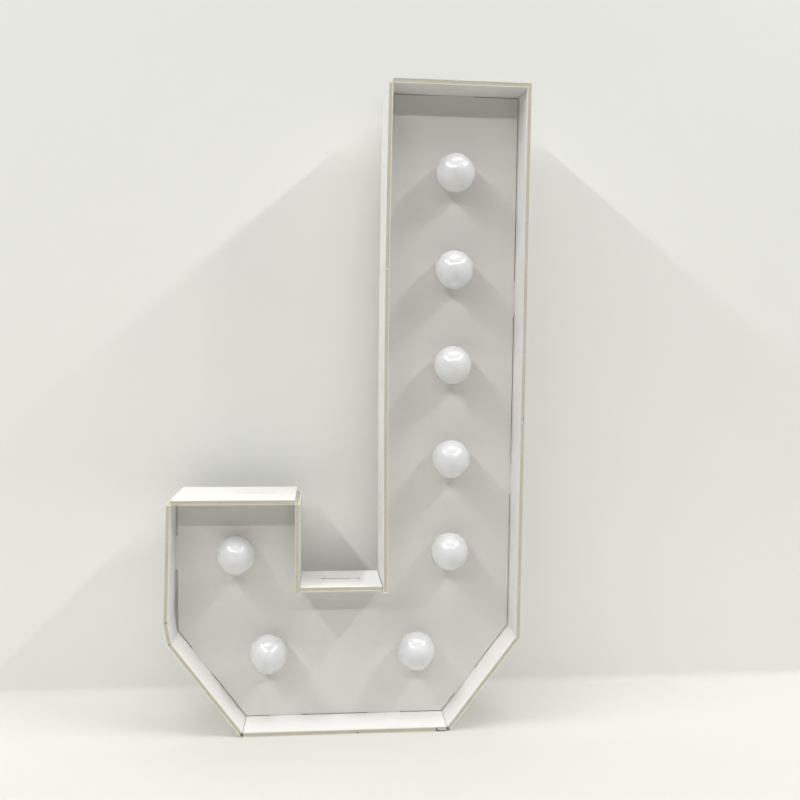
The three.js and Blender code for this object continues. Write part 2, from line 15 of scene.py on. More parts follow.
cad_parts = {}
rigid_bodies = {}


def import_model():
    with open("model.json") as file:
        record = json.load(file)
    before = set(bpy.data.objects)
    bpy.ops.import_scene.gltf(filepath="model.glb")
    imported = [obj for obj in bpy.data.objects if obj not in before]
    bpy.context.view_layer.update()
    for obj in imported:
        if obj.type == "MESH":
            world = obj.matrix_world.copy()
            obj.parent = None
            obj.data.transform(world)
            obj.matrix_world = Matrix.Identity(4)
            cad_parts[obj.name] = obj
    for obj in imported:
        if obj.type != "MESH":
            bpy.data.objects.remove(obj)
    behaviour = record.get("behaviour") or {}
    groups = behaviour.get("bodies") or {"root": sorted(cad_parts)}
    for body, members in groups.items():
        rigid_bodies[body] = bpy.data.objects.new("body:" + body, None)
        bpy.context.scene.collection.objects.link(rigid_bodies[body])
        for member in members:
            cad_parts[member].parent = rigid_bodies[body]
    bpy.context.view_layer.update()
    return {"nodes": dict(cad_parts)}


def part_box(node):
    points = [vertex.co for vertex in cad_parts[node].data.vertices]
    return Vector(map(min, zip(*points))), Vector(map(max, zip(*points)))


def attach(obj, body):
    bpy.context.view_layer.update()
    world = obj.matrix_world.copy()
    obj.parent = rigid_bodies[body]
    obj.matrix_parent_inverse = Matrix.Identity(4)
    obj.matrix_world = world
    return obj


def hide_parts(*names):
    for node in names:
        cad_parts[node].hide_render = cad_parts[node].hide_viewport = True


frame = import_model()

# %% [markdown]
# ## The bench drawing
# Foam board is cut to a drawing in millimetres, measured from the letter's left side, its front
# edge and the bench. The model stands with its middle on the origin, so one small function turns
# a place on the drawing into a place in the model. The model itself says where the drawing lies.

# %% Sizes from the drawing
MM = 0.001
LETTER_WIDTH = 498
LETTER_HEIGHT = 914
LETTER_DEPTH = 110
STEM_WIDTH = 198
HOOK_WIDTH = 183
HOOK_HEIGHT = 337
NOTCH_FLOOR_HEIGHT = 210
CHAMFER_WIDTH = 101
CHAMFER_HEIGHT = 135
BOARD = 6.5
PANEL_FRONT = 53

outer_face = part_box("stem_right_upper_board")[1]
front_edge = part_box("stem_right_upper_board")[0].y
drawing_corner = Vector((outer_face.x - LETTER_WIDTH * MM, front_edge, 0))


def bench(x, y, z):
    """A place on the drawing, as a place in the model."""
    return drawing_corner + Vector((x, y, z)) * MM


print("the drawing's corner lies at", [round(v, 4) for v in drawing_corner])

# %% [markdown]
# ## The camera
# The portrait was taken with a short lens from a little left of the stem, at about half the
# letter's height, looking slightly right and down, with a small tilt of the hand. The lines of
# the tray give all of this: the base and the two tops converge, and of the stem's two sides the
# left one shows its outer face and the right one its inner face.


# %% Camera
def new_object(name, data):
    """An object for some data, linked into the scene."""
    made = bpy.data.objects.new(name, data)
    bpy.context.scene.collection.objects.link(made)
    return made


CAMERA_PLACE = bench(210.1, -1188.3, 561.4)
TURN_RIGHT = math.radians(5.31)
LOOK_DOWN = math.radians(4.06)
HAND_TILT = math.radians(0.67)
FOCAL_PIXELS = 861.3
PICTURE_PIXELS = 800
SENSOR_WIDTH = 36

camera_data = bpy.data.cameras.new("portrait_camera")
camera_data.sensor_width = SENSOR_WIDTH
camera_data.lens = SENSOR_WIDTH * FOCAL_PIXELS / PICTURE_PIXELS
camera = new_object("portrait_camera", camera_data)
aim = Matrix.Rotation(-TURN_RIGHT, 4, "Z")
aim @= Matrix.Rotation(math.pi / 2 - LOOK_DOWN, 4, "X")
aim @= Matrix.Rotation(HAND_TILT, 4, "Z")
camera.matrix_world = Matrix.Translation(CAMERA_PLACE) @ aim
bpy.context.scene.camera = camera
bpy.context.scene.view_settings.view_transform = "Standard"
print("lens", round(camera_data.lens, 1), "mm")

# %% [markdown]
# ## Finishes as small networks
# Every finish below is a network of nodes round one shader. A few helpers keep the cells short:
# one starts a finish with the values that are the same all over it, one adds a node and wires
# it up in the same breath, and the others are the networks that come back again and again.


# %% Helpers for finishes
def new_finish(name, **values):
    """A material whose shader holds the plain values."""
    material = bpy.data.materials.new(name)
    material.use_nodes = True
    for socket, value in values.items():
        shader_of(material).inputs[socket.replace("_", " ")].default_value = value
    return material


def shader_of(material):
    return material.node_tree.nodes["Principled BSDF"]


def wire(material, kind, inputs, **settings):
    """Adds a node. Inputs that are sockets are linked and the others are set."""
    made = material.node_tree.nodes.new(kind)
    for key, value in settings.items():
        setattr(made, key, value)
    for socket, value in inputs.items():
        if isinstance(value, bpy.types.NodeSocket):
            material.node_tree.links.new(value, made.inputs[socket])
        else:
            made.inputs[socket].default_value = value
    return made


def place_on(material):
    """The place of a point on its piece, in metres."""
    return wire(material, "ShaderNodeTexCoord", {}).outputs["Object"]


def axis_of(material, place, axis):
    return wire(material, "ShaderNodeSeparateXYZ", {0: place}).outputs[axis]


def maths(material, operation, *values):
    """One sum with sockets and numbers."""
    inputs = dict(enumerate(values))
    return wire(material, "ShaderNodeMath", inputs, operation=operation).outputs[0]


def clouds(material, scale, detail=3, roughness=0.5, stretch=(1, 1, 1)):
    """Soft noise in the piece's own metres, drawn out by the stretch."""
    inputs = {"Vector": place_on(material), "Scale": stretch}
    place = wire(material, "ShaderNodeMapping", inputs).outputs[0]
    inputs = {"Vector": place, "Scale": scale, "Detail": detail, "Roughness": roughness}
    return wire(material, "ShaderNodeTexNoise", inputs).outputs["Fac"]


def between(material, amount, low, high, start=0.3, stop=0.7):
    """Turns noise between start and stop into a value between low and high."""
    inputs = {"Value": amount, "From Min": start, "From Max": stop, "To Min": low, "To Max": high}
    return wire(material, "ShaderNodeMapRange", inputs).outputs["Result"]


def blend_tones(material, amount, first, second, kind="MIX"):
    """Mixes two colours, each plain or a socket, by an amount."""
    plain = [t if isinstance(t, bpy.types.NodeSocket) else (*t, 1) for t in (first, second)]
    inputs = {"Fac": amount, "Color1": plain[0], "Color2": plain[1]}
    return wire(material, "ShaderNodeMixRGB", inputs, blend_type=kind).outputs["Color"]


def connect(material, socket, name):
    """Leads a socket into the finish's shader."""
    material.node_tree.links.new(socket, shader_of(material).inputs[name])


def relief(material, height, strength, depth, under=None):
    """Raises the surface by a height, on top of any relief under it."""
    inputs = {"Height": height, "Strength": strength, "Distance": depth}
    if under is not None:
        inputs["Normal"] = under
    bump = wire(material, "ShaderNodeBump", inputs).outputs["Normal"]
    connect(material, bump, "Normal")
    return bump


def drifting(name, scale, first, second, sheen=None, grain=None, **values):
    """A finish that drifts between two tones. Its sheen may drift too, over a fine grain."""
    material = new_finish(name, **values)
    tone = blend_tones(material, clouds(material, scale), first, second)
    connect(material, tone, "Base Color")
    if sheen:
        scale, detail, low, high = sheen
        uneven = between(material, clouds(material, scale, detail), low, high)
        connect(material, uneven, "Roughness")
    if grain:
        scale, detail, strength, depth = grain
        relief(material, clouds(material, scale, detail), strength, depth)
    return material


def mix_surfaces(owner, output, amount, first, second):
    """Sends two shaders, mixed by an amount, to the output node."""
    either = wire(owner, "ShaderNodeMixShader", {0: amount, 1: first, 2: second}).outputs[0]
    owner.node_tree.links.new(either, owner.node_tree.nodes[output].inputs["Surface"])


# %% [markdown]
# ## Floor and backdrop
# The letter stands close in front of a wall, and the soft shadows on it tell how deep the tray
# is. One sheet makes the floor, a small cove and the wall. Its back lets sight and light pass,
# so the letter can also be looked at from behind. Far from the letter the stage fades out, and
# floor and backdrop run into each other without a hard horizon.

# %% Floor and wall
WALL_GAP = 165
COVE_RADIUS = 14
STAGE_REACH = 6.0
COVE_STEPS = 8

wall_y = bench(0, WALL_GAP, 0).y
cove = COVE_RADIUS * MM
profile = [(-STAGE_REACH, 0)]
for step in range(COVE_STEPS + 1):
    turn = math.pi / 2 * step / COVE_STEPS
    profile.append((wall_y - cove + cove * math.sin(turn), cove - cove * math.cos(turn)))
profile.append((wall_y, STAGE_REACH))

stage_bm = bmesh.new()
left_row = [stage_bm.verts.new((-STAGE_REACH, y, z)) for y, z in profile]
right_row = [stage_bm.verts.new((STAGE_REACH, y, z)) for y, z in profile]
for i in range(len(profile) - 1):
    stage_bm.faces.new((left_row[i], right_row[i], right_row[i + 1], left_row[i + 1]))
stage_mesh = bpy.data.meshes.new("floor_and_wall")
stage_bm.to_mesh(stage_mesh)
stage_bm.free()
stage_mesh.shade_smooth()
stage = new_object("floor_and_wall", stage_mesh)

rear_mesh = bpy.data.meshes.new("floor_behind")
rear_start = wall_y - cove
rear_ends = [(-STAGE_REACH, rear_start), (STAGE_REACH, rear_start)]
rear_ends += [(STAGE_REACH, STAGE_REACH), (-STAGE_REACH, STAGE_REACH)]
rear_mesh.from_pydata([(x, y, 0) for x, y in rear_ends], [], [(0, 1, 2, 3)])
rear_floor = new_object("floor_behind", rear_mesh)

# %% Backdrop finish
FADE_START, FADE_END = 1.6, 3.0
# Painted shade: the wall's colour darkens between these two heights, towards its top.
WALL_LOW, WALL_HIGH = 0.2, 1.1
LOW_TONES = ((0.885, 0.885, 0.85), (0.905, 0.905, 0.87))
HIGH_TONE = (0.80, 0.80, 0.765)
FLOOR_TONE = (0.68, 0.67, 0.625)
# Painted light: the floor behind the wall is lighter than the floor in front of it, making up for
# light it doesn't get.
REAR_TONE = (0.92, 0.91, 0.86)

stage_finish = new_finish("pale_emulsion", Roughness=0.7)
low_tone = blend_tones(stage_finish, clouds(stage_finish, 0.8, detail=2), *LOW_TONES)
spot = place_on(stage_finish)
height = axis_of(stage_finish, spot, "Z")
rise = between(stage_finish, height, 0, 1, WALL_LOW, WALL_HIGH)
wall_tone = blend_tones(stage_finish, rise, low_tone, HIGH_TONE)
is_wall = between(stage_finish, height, 0, 1, 0, cove)
depth = axis_of(stage_finish, spot, "Y")
is_behind = between(stage_finish, depth, 0, 1, wall_y + 0.5 * MM, wall_y + MM)
floor_tone = blend_tones(stage_finish, is_behind, FLOOR_TONE, REAR_TONE)
stage_tone = blend_tones(stage_finish, is_wall, floor_tone, wall_tone)
connect(stage_finish, stage_tone, "Base Color")
relief(stage_finish, clouds(stage_finish, 60, detail=4), 0.08, 0.002)
reach = wire(stage_finish, "ShaderNodeVectorMath", {0: spot}, operation="LENGTH")
passes = between(stage_finish, reach.outputs["Value"], 0, 1, FADE_START, FADE_END)
side = wire(stage_finish, "ShaderNodeNewGeometry", {}).outputs["Backfacing"]
shadow_ray = wire(stage_finish, "ShaderNodeLightPath", {}).outputs["Is Shadow Ray"]
for reason in (side, shadow_ray):
    passes = maths(stage_finish, "MAXIMUM", passes, reason)
clear = wire(stage_finish, "ShaderNodeBsdfTransparent", {}).outputs[0]
painted = shader_of(stage_finish).outputs[0]
mix_surfaces(stage_finish, "Material Output", passes, painted, clear)
stage_mesh.materials.append(stage_finish)
rear_mesh.materials.append(stage_finish)
print("wall", round(wall_y - front_edge, 3), "m behind the letter's front edge")

# %% [markdown]
# ## Studio light
# The lamps' globes mirror a ring of long tubes under the ceiling: one to the left, one to the
# right and one far in front. Those three give each globe its pair of slanting shadows and the
# dark band under each top board. Two wide soft boxes high above, one in front of the wall and
# one behind it, stand in for the pale ceiling. They brighten every face that looks up and let
# the panel darken gently towards the top. A painted shade in the colours of the panel and the
# wall darkens both further towards their tops.

# %% Strip lights
CEILING = 2.5
STRIP_WIDTH = 0.09
NEAR_RUN, FAR_RUN, FRONT_RUN = 1.3, 1.7, 3.4
NEAR_AHEAD, FAR_AHEAD, FRONT_AHEAD = 750, 2300, 2850
# side, place across, and watts of its near and far strip
SIDE_STRIPS = (("left", -1500, 30, 22.5), ("right", 2150, 37, 5.5))
FRONT_ACROSS, FRONT_WATTS = 320, 25.5
LETTER_MIDDLE = 250
LIGHT_TARGET = bench(LETTER_MIDDLE, 60, 450)


def soft_box(name, length, width, watts, placing):
    """A rectangular lamp that the camera doesn't see."""
    light = bpy.data.lights.new(name, "AREA")
    light.shape = "RECTANGLE"
    light.size, light.size_y = length, width
    light.energy = watts
    holder = new_object(name, light)
    holder.matrix_world = placing
    holder.visible_camera = False


def strip_light(name, across, ahead, length, along, watts):
    """A long narrow box under the ceiling that faces the letter."""
    middle = bench(across, -ahead, CEILING / MM)
    long_way = Vector(along)
    away = middle - LIGHT_TARGET
    away = (away - long_way * away.dot(long_way)).normalized()
    axes = Matrix((long_way, away.cross(long_way), away)).transposed()
    soft_box(name, length, STRIP_WIDTH, watts, Matrix.Translation(middle) @ axes.to_4x4())


for side, across, near_watts, far_watts in SIDE_STRIPS:
    strip_light(f"near_{side}", across, NEAR_AHEAD, NEAR_RUN, (0, 1, 0), near_watts)
    strip_light(f"far_{side}", across, FAR_AHEAD, FAR_RUN, (0, 1, 0), far_watts)
strip_light("front", FRONT_ACROSS, FRONT_AHEAD, FRONT_RUN, (1, 0, 0), FRONT_WATTS)

# %% Ceiling and the room's glow
BOX_HEIGHT = 3.2 * CEILING / MM
BOX_LENGTH, BOX_WIDTH = 6.0, 2.5
# name, place in depth, and watts
SOFT_BOXES = (("ceiling_glow", -1250, 152), ("rear_glow", 2300, 74))
GLOW_TONE, GLOW_STRENGTH = (0.96, 0.98, 1.0, 1), 0.01
BACKDROP_TONE = (0.90, 0.90, 0.88, 1)

for name, y, watts in SOFT_BOXES:
    placing = Matrix.Translation(bench(LETTER_MIDDLE, y, BOX_HEIGHT))
    soft_box(name, BOX_LENGTH, BOX_WIDTH, watts, placing)

world = bpy.data.worlds.new("pale_room")
world.use_nodes = True
bpy.context.scene.world = world
glow = world.node_tree.nodes["Background"]
glow.inputs["Color"].default_value = GLOW_TONE
glow.inputs["Strength"].default_value = GLOW_STRENGTH
backdrop = wire(world, "ShaderNodeBackground", {"Color": BACKDROP_TONE}).outputs[0]
rays = wire(world, "ShaderNodeLightPath", {}).outputs
mirrored = maths(world, "MAXIMUM", rays["Is Glossy Ray"], rays["Is Transmission Ray"])
seen = maths(world, "MAXIMUM", rays["Is Camera Ray"], mirrored)
mix_surfaces(world, "World Output", seen, glow.outputs[0], backdrop)

# %% [markdown]
# ## White paper
# The board's faces are smooth white paper. At arm's length it isn't one flat white: it has slow
# clouds of tone, a few grey marks from handling, and a fine tooth that keeps its shine broad.
# Noise at three scales does this, so that no image is needed and the scale stays true. The
# paper comes in copies of different brightness, which is painted light: boards that catch more
# light take a brighter copy, and the foot's boards the brightest one, up to the top of the foot.


# %% Paper finish
def paper_finish(name, light_tone, dark_tone, mark_tone):
    material = new_finish(name, IOR=1.47)
    tone = between(material, clouds(material, 7, detail=4), 0, 1)
    cloudy = blend_tones(material, tone, dark_tone, light_tone)
    marks = between(material, clouds(material, 23, detail=7, roughness=0.62), 0, 0.55, 0.6, 0.78)
    connect(material, blend_tones(material, marks, cloudy, mark_tone), "Base Color")
    connect(material, between(material, clouds(material, 90, detail=5), 0.5, 0.68), "Roughness")
    wave = relief(material, clouds(material, 16, detail=1), 0.25, 0.0016)
    relief(material, clouds(material, 1500, detail=4), 0.18, 0.0002, under=wave)
    return material


def tint_upwards(material, start, stop, tint):
    """Multiplies a finish's colour by a tint that sets in between two heights."""
    tone = shader_of(material).inputs["Base Color"].links[0].from_socket
    height = axis_of(material, place_on(material), "Z")
    amount = between(material, height, 0, 1, start, stop)
    tinted = blend_tones(material, amount, tone, tint, "MULTIPLY")
    connect(material, tinted, "Base Color")


# The third and fourth papers are brighter copies of the first: painted light for boards that catch
# more light.
# light, dark and mark tone of each paper
PAPERS = {
    "white_paper": ((0.745, 0.74, 0.72), (0.72, 0.715, 0.695), (0.64, 0.63, 0.605)),
    "panel_paper": ((0.785, 0.77, 0.735), (0.758, 0.742, 0.71), (0.68, 0.666, 0.64)),
    "lit_paper": ((0.825, 0.822, 0.804), (0.80, 0.795, 0.777), (0.71, 0.70, 0.68)),
    "lit_foot_paper": ((0.925, 0.922, 0.90), (0.90, 0.895, 0.872), (0.80, 0.79, 0.765)),
}
# Painted light: the foot's paper is at its brightest below the top of the foot and is dimmed above
# it.
ABOVE_FOOT_DIMMING = (0.892, 0.892, 0.893)
FOOT_LIGHT_FROM, FOOT_LIGHT_TO = (CHAMFER_HEIGHT - 8) * MM, (CHAMFER_HEIGHT + 4) * MM

papers = [paper_finish(name, *tones) for name, tones in PAPERS.items()]
white_paper, panel_paper, lit_paper, lit_foot_paper = papers
tint_upwards(lit_foot_paper, FOOT_LIGHT_FROM, FOOT_LIGHT_TO, ABOVE_FOOT_DIMMING)
print("paper finishes:", ", ".join(PAPERS))

# %% [markdown]
# ## Cut foam
# Between its papers the board is cream foam. A knife leaves it open: small crushed cells, with
# drag lines along the cut. Cells from a Voronoi texture give the crumb, and stretched noise the
# drag. It is warmer and duller than the paper, which is what makes the edges read as layers.

# %% Foam finish
CORE_SHADE, CORE_PALE = (0.535, 0.495, 0.39), (0.715, 0.675, 0.555)
DRAG_TONE = (0.655, 0.61, 0.48)

foam_core = new_finish("foam_core", Roughness=0.9, IOR=1.45)
inputs = {"Vector": place_on(foam_core), "Scale": 1100}
cells = wire(foam_core, "ShaderNodeTexVoronoi", inputs).outputs["Distance"]
crumb = between(foam_core, cells, 1, 0, 0.1, 0.75)
drag = clouds(foam_core, 260, stretch=(1, 4, 1))
core_tone = blend_tones(foam_core, crumb, CORE_SHADE, CORE_PALE)
core_tone = blend_tones(foam_core, between(foam_core, drag, 0, 0.5), core_tone, DRAG_TONE)
connect(foam_core, core_tone, "Base Color")
crushed = relief(foam_core, crumb, 0.6, 0.0003)
relief(foam_core, drag, 0.4, 0.0004, under=crushed)
print("foam finish:", foam_core.name)

# %% [markdown]
# ## The tray's outline
# A drawing gives the outer corners. The strips' inner faces lie one board further in, so the
# outline is moved inwards by a board's thickness: each corner slides along its bisector.


# %% Outline and its inner corners
def outward_of(direction):
    """The way out of the tray, for a side that runs along the direction."""
    return Vector((direction.y, -direction.x))


def inset(outline, distance):
    """Moves every side of a closed outline inwards by the same distance."""
    moved = []
    for i, here in enumerate(outline):
        arriving = outward_of((here - outline[i - 1]).normalized())
        leaving = outward_of((outline[(i + 1) % len(outline)] - here).normalized())
        reach = distance / (1 + arriving.dot(leaving))
        moved.append(here - (arriving + leaving) * reach)
    return moved


stem_left_x = LETTER_WIDTH - STEM_WIDTH
silhouette = [
    Vector(corner)
    for corner in (
        (CHAMFER_WIDTH, 0),
        (LETTER_WIDTH - CHAMFER_WIDTH, 0),
        (LETTER_WIDTH, CHAMFER_HEIGHT),
        (LETTER_WIDTH, LETTER_HEIGHT),
        (stem_left_x, LETTER_HEIGHT),
        (stem_left_x, NOTCH_FLOOR_HEIGHT),
        (HOOK_WIDTH, NOTCH_FLOOR_HEIGHT),
        (HOOK_WIDTH, HOOK_HEIGHT),
        (0, HOOK_HEIGHT),
        (0, CHAMFER_HEIGHT),
    )
]
(
    base_left,
    base_right,
    chamfer_right,
    stem_top_right,
    stem_top_left,
    notch_right,
    notch_left,
    hook_top_right,
    hook_top_left,
    chamfer_left,
) = inset(silhouette, BOARD)
print("inner width of the stem:", round(stem_top_right.x - stem_top_left.x, 1), "mm")

# %% [markdown]
# ## A strip of board
# Each strip could be a plain box, but a real one shows what it is at its cut edges: two papers
# with foam between them, the foam a little shrunk back from the knife. So a strip is a flat grid
# of cells, open where the panel's tabs come through. The grid is bent along its path, and every
# cut edge gets three layers. The knife's small wander and the board's slow warp come from noise.

# %% Sizes of a cut edge
PAPER = 1.1
FOAM_SHRINK = 0.3
GRID_PITCH = 11
LEAST_STEP = 0.05
END_MARGIN = 0.2
RIM = 1.5
KNIFE_WANDER = 0.14
WARP = 0.22
SEAT_GAP = 0.3
SLOT_WIDTH = 7.5
SLOT_FRONT = PANEL_FRONT + (BOARD - SLOT_WIDTH) / 2
LAYERS = [
    (0, 0),
    (PAPER, 0),
    (PAPER, FOAM_SHRINK),
    (BOARD - PAPER, FOAM_SHRINK),
    (BOARD - PAPER, 0),
    (BOARD, 0),
]


# %% Stations along a strip
def stations(length, marks):
    """Both ends, every mark between them, and enough stops to follow a soft bend."""
    marks = [RIM, length - RIM, *marks]
    inside = [m for m in marks if END_MARGIN < m < length - END_MARGIN]
    stops = sorted([0, length, *inside])
    line = []
    for here, there in zip(stops, stops[1:]):
        if there - here < LEAST_STEP:
            continue
        parts = max(1, round((there - here) / GRID_PITCH))
        line += [here + (there - here) * i / parts for i in range(parts)]
    return line + [length]


def outer_line(path):
    """The strip's outer face: each corner of the inner face, moved out along its bisector."""
    ways = [outward_of((b - a).normalized()) for a, b in zip(path, path[1:])]
    line = []
    for i, here in enumerate(path):
        arriving, leaving = ways[max(i - 1, 0)], ways[min(i, len(ways) - 1)]
        line.append(here + (arriving + leaving) * (BOARD / (1 + arriving.dot(leaving))))
    return line


# %% Place of a point inside a strip
def bend_of(path):
    """Returns a function from (along, through) to a point of the bent strip on the drawing."""
    outside = outer_line(path)
    lengths = [(b - a).length for a, b in zip(path, path[1:])]
    stops = [sum(lengths[:i]) for i in range(len(path))]

    def place_of(along, through):
        leg = 0
        while leg < len(path) - 2 and along > stops[leg + 1]:
            leg += 1
        share = (along - stops[leg]) / (stops[leg + 1] - stops[leg])
        inner = path[leg].lerp(path[leg + 1], share)
        return inner.lerp(outside[leg].lerp(outside[leg + 1], share), through / BOARD)

    return place_of, stops


def pull_of(cells, i, j):
    """Which way is into the board at a grid node, along the strip and along its depth."""
    around = [(a, b) for a in (-1, 1) for b in (-1, 1)]
    sides = [(a, b) for a, b in around if (i + (a - 1) // 2, j + (b - 1) // 2) in cells]
    if len(sides) == 4:
        return 0, 0
    across = sum(a for a, _ in sides)
    back = sum(b for _, b in sides)
    return (across > 0) - (across < 0), (back > 0) - (back < 0)


# %% The grid becomes a board
KNIFE_SCALE = 7
WARP_SCALES = (90, 60)


def strip_mesh(path, slots, seed, thickness_at=None):
    """A layered strip in drawing millimetres; slots are (start, stop) along it."""
    place_of, stops = bend_of(path)
    along = stations(stops[-1], stops[1:-1] + [end for slot in slots for end in slot])
    back = stations(LETTER_DEPTH, [SLOT_FRONT, SLOT_FRONT + SLOT_WIDTH])

    def is_open(i, j):
        s = (along[i] + along[i + 1]) / 2
        y = (back[j] + back[j + 1]) / 2
        in_depth = SLOT_FRONT < y < SLOT_FRONT + SLOT_WIDTH
        return in_depth and any(start < s < stop for start, stop in slots)

    grid = [(i, j) for i in range(len(along) - 1) for j in range(len(back) - 1)]
    cells = {cell for cell in grid if not is_open(*cell)}
    bm = bmesh.new()
    known = {}

    def corner_at(i, j, layer):
        if (i, j, layer) not in known:
            through, shrink = LAYERS[layer]
            pull_s, pull_y = pull_of(cells, i, j)
            place = (along[i] / KNIFE_SCALE, back[j] / KNIFE_SCALE, seed + through)
            ragged = (1 + noise.noise(Vector(place))) / 2
            reach = shrink + (KNIFE_WANDER * ragged if pull_s or pull_y else 0)
            s, y = along[i] + pull_s * reach, back[j] + pull_y * reach
            if thickness_at:
                through *= thickness_at(s, y)
            spot = place_of(s, through)
            out = (place_of(s, BOARD) - place_of(s, 0)).normalized()
            place = (s / WARP_SCALES[0], y / WARP_SCALES[1], seed)
            spot -= out * (WARP * (1 + noise.noise(Vector(place))) / 2)
            known[i, j, layer] = bm.verts.new((spot.x, y, spot.y))
        return known[i, j, layer]

    last = len(LAYERS) - 1
    for i, j in cells:
        ring = [(i, j), (i + 1, j), (i + 1, j + 1), (i, j + 1)]
        bm.faces.new([corner_at(*node, 0) for node in ring])
        bm.faces.new([corner_at(*node, last) for node in reversed(ring)])
        beyond = [(i, j - 1), (i + 1, j), (i, j + 1), (i - 1, j)]
        for side_number, neighbour in enumerate(beyond):
            if neighbour in cells:
                continue
            a, b = ring[side_number], ring[(side_number + 1) % 4]
            for layer in range(last):
                rim = [(b, layer), (a, layer), (a, layer + 1), (b, layer + 1)]
                face = bm.faces.new([corner_at(*node, level) for node, level in rim])
                face.material_index = 1 if 0 < layer < last - 1 else 0
    return facing_out(bm)


# %% [markdown]
# ## From a mesh to a piece
# A finished mesh becomes an object that rides on one of the letter's bodies. Its faces are
# shaded smooth, but an edge that turns sharply stays crisp, as a cut edge does.

# %% Making a piece
CRISP_ANGLE = math.radians(32)


def piece_of(name, bm, finishes, body="letter", replaces=()):
    """Makes the object, lays on its finishes and lets it ride on a body."""
    mesh = bpy.data.meshes.new(name)
    bm.to_mesh(mesh)
    bm.free()
    for finish in finishes:
        mesh.materials.append(finish)
    mesh.shade_smooth()
    mesh.set_sharp_from_angle(angle=CRISP_ANGLE)
    piece = new_object(name, mesh)
    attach(piece, body)
    if replaces:
        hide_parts(*replaces)
    return piece


def facing_out(bm):
    """Turns every face of a mesh outwards."""
    bmesh.ops.recalc_face_normals(bm, faces=bm.faces)
    return bm


def placed(bm, spot):
    """Moves a mesh from its own millimetres to a place in the model."""
    bmesh.ops.transform(bm, matrix=Matrix.Translation(spot) @ Matrix.Scale(MM, 4), verts=bm.verts)
    return bm


def on_bench(bm, tilt=None):
    """Moves a mesh from the drawing, tilted if need be, to its place in the model."""
    if tilt:
        bmesh.ops.transform(bm, matrix=tilt, verts=bm.verts)
    return placed(bm, drawing_corner)


# %% [markdown]
# ## Where the tabs come through
# The panel hangs in the tray by tabs that push through slots in the strips. Each board has its
# tabs at shares of its own length, so a strip only needs to know the boards along its side.

# %% Slots of every side
TAB_LENGTH = 50
TAB_LONGEST_SHARE = 0.43
SLOT_SPARE = 3
STEM_RIGHT_JOINT = 446.5
STEM_LEFT_JOINT = 657
HOOK_JOINT = 166
HOOK_JOINT_BULGE = 4.5
NOTCH_FLOOR_SHORTFALL = 1.2
BASE_END_LENGTH = 15
HOOK_SLOT_SHARE = 0.344
FOOT_SLOT_SHARE = 0.35


def slots_between(start, stop, shares, shift=0):
    """The slots of one board, as stretches along it."""
    length = (stop - start).length
    half = min(TAB_LENGTH, length * TAB_LONGEST_SHARE) / 2 + SLOT_SPARE
    return [(shift + share * length - half, shift + share * length + half) for share in shares]


def trimmed(path):
    """Shortens both ends a little, so that neighbouring strips don't press on each other."""
    first = path[0] + (path[1] - path[0]).normalized() * SEAT_GAP
    last = path[-1] + (path[-2] - path[-1]).normalized() * SEAT_GAP
    return [first, *path[1:-1], last]


# %% A strip for each board of the model
SEED_STEP = 3.7


def strip(name, path, slots=(), finishes=(white_paper, foam_core), thickness_at=None, tilt=None):
    """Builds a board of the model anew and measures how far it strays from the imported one."""
    cuts = [(start - SEAT_GAP, stop - SEAT_GAP) for start, stop in slots]
    seed = len(bpy.data.objects) * SEED_STEP
    bm = on_bench(strip_mesh(trimmed(path), cuts, seed, thickness_at), tilt)
    made = piece_of(name + "_paper", bm, finishes, replaces=[name])
    low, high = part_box(name)
    points = [v.co for v in made.data.vertices]
    off = 0
    for axis in range(3):
        values = [p[axis] for p in points]
        off = max(off, abs(min(values) - low[axis]), abs(max(values) - high[axis]))
    print(name, "made with", len(made.data.polygons), "faces, within", round(off / MM, 2), "mm")


def straight_strip(name, start, stop, share, finishes=(white_paper, foam_core)):
    """A board between two corners, with one slot at a share of its length."""
    strip(name, [start, stop], slots_between(start, stop, [share]), finishes)


# %% [markdown]
# ## The right side and the top
# The right side is pieced from two strips. The lower one was scored across and folded round the
# foot, so its paper runs on without a joint. The top board lies over the end of the right strip
# and meets the left one corner to corner, which leaves the open notches that the picture shows.
# Most of its sides take a brighter copy of the same paper, which is painted light on the
# boards that catch more light.

# %% Right side, fold and top
# Painted light: brighter copies of the paper for the boards that catch more light, and for the
# foot.
LIT_BOARD = (lit_paper, foam_core)
LIT_FOOT_BOARD = (lit_foot_paper, foam_core)

stem_right_joint = Vector((stem_top_right.x, STEM_RIGHT_JOINT))
foot_run = (chamfer_right - base_right).length
strip(
    "stem_right_folded_board",
    [base_right, chamfer_right, stem_right_joint],
    slots_between(base_right, chamfer_right, [FOOT_SLOT_SHARE])
    + slots_between(chamfer_right, stem_right_joint, [0.72], foot_run),
    LIT_FOOT_BOARD,
)
straight_strip("stem_right_upper_board", stem_right_joint, stem_top_right, 0.38, LIT_BOARD)
top_right_end = Vector((LETTER_WIDTH, stem_top_right.y))
strip(
    "stem_top_board",
    [top_right_end, stem_top_left],
    slots_between(stem_top_right, stem_top_left, [0.5], BOARD),
)

# %% [markdown]
# ## The bowed left side
# The stem's left side springs out a little between its ends, as a long strip does when only its
# ends are held. The bow is a parabola over both of its boards.

# %% Left side of the stem
STEM_LEFT_BOW = 2.5
BOW_STEPS = 16


def bowed_path(top, low):
    length = stem_top_left.y - notch_right.y
    path = []
    for step in range(BOW_STEPS + 1):
        height = top + (low - top) * step / BOW_STEPS
        across = 2 * (height - notch_right.y) / length - 1
        path.append(Vector((stem_top_left.x - STEM_LEFT_BOW * (1 - across**2), height)))
    return path


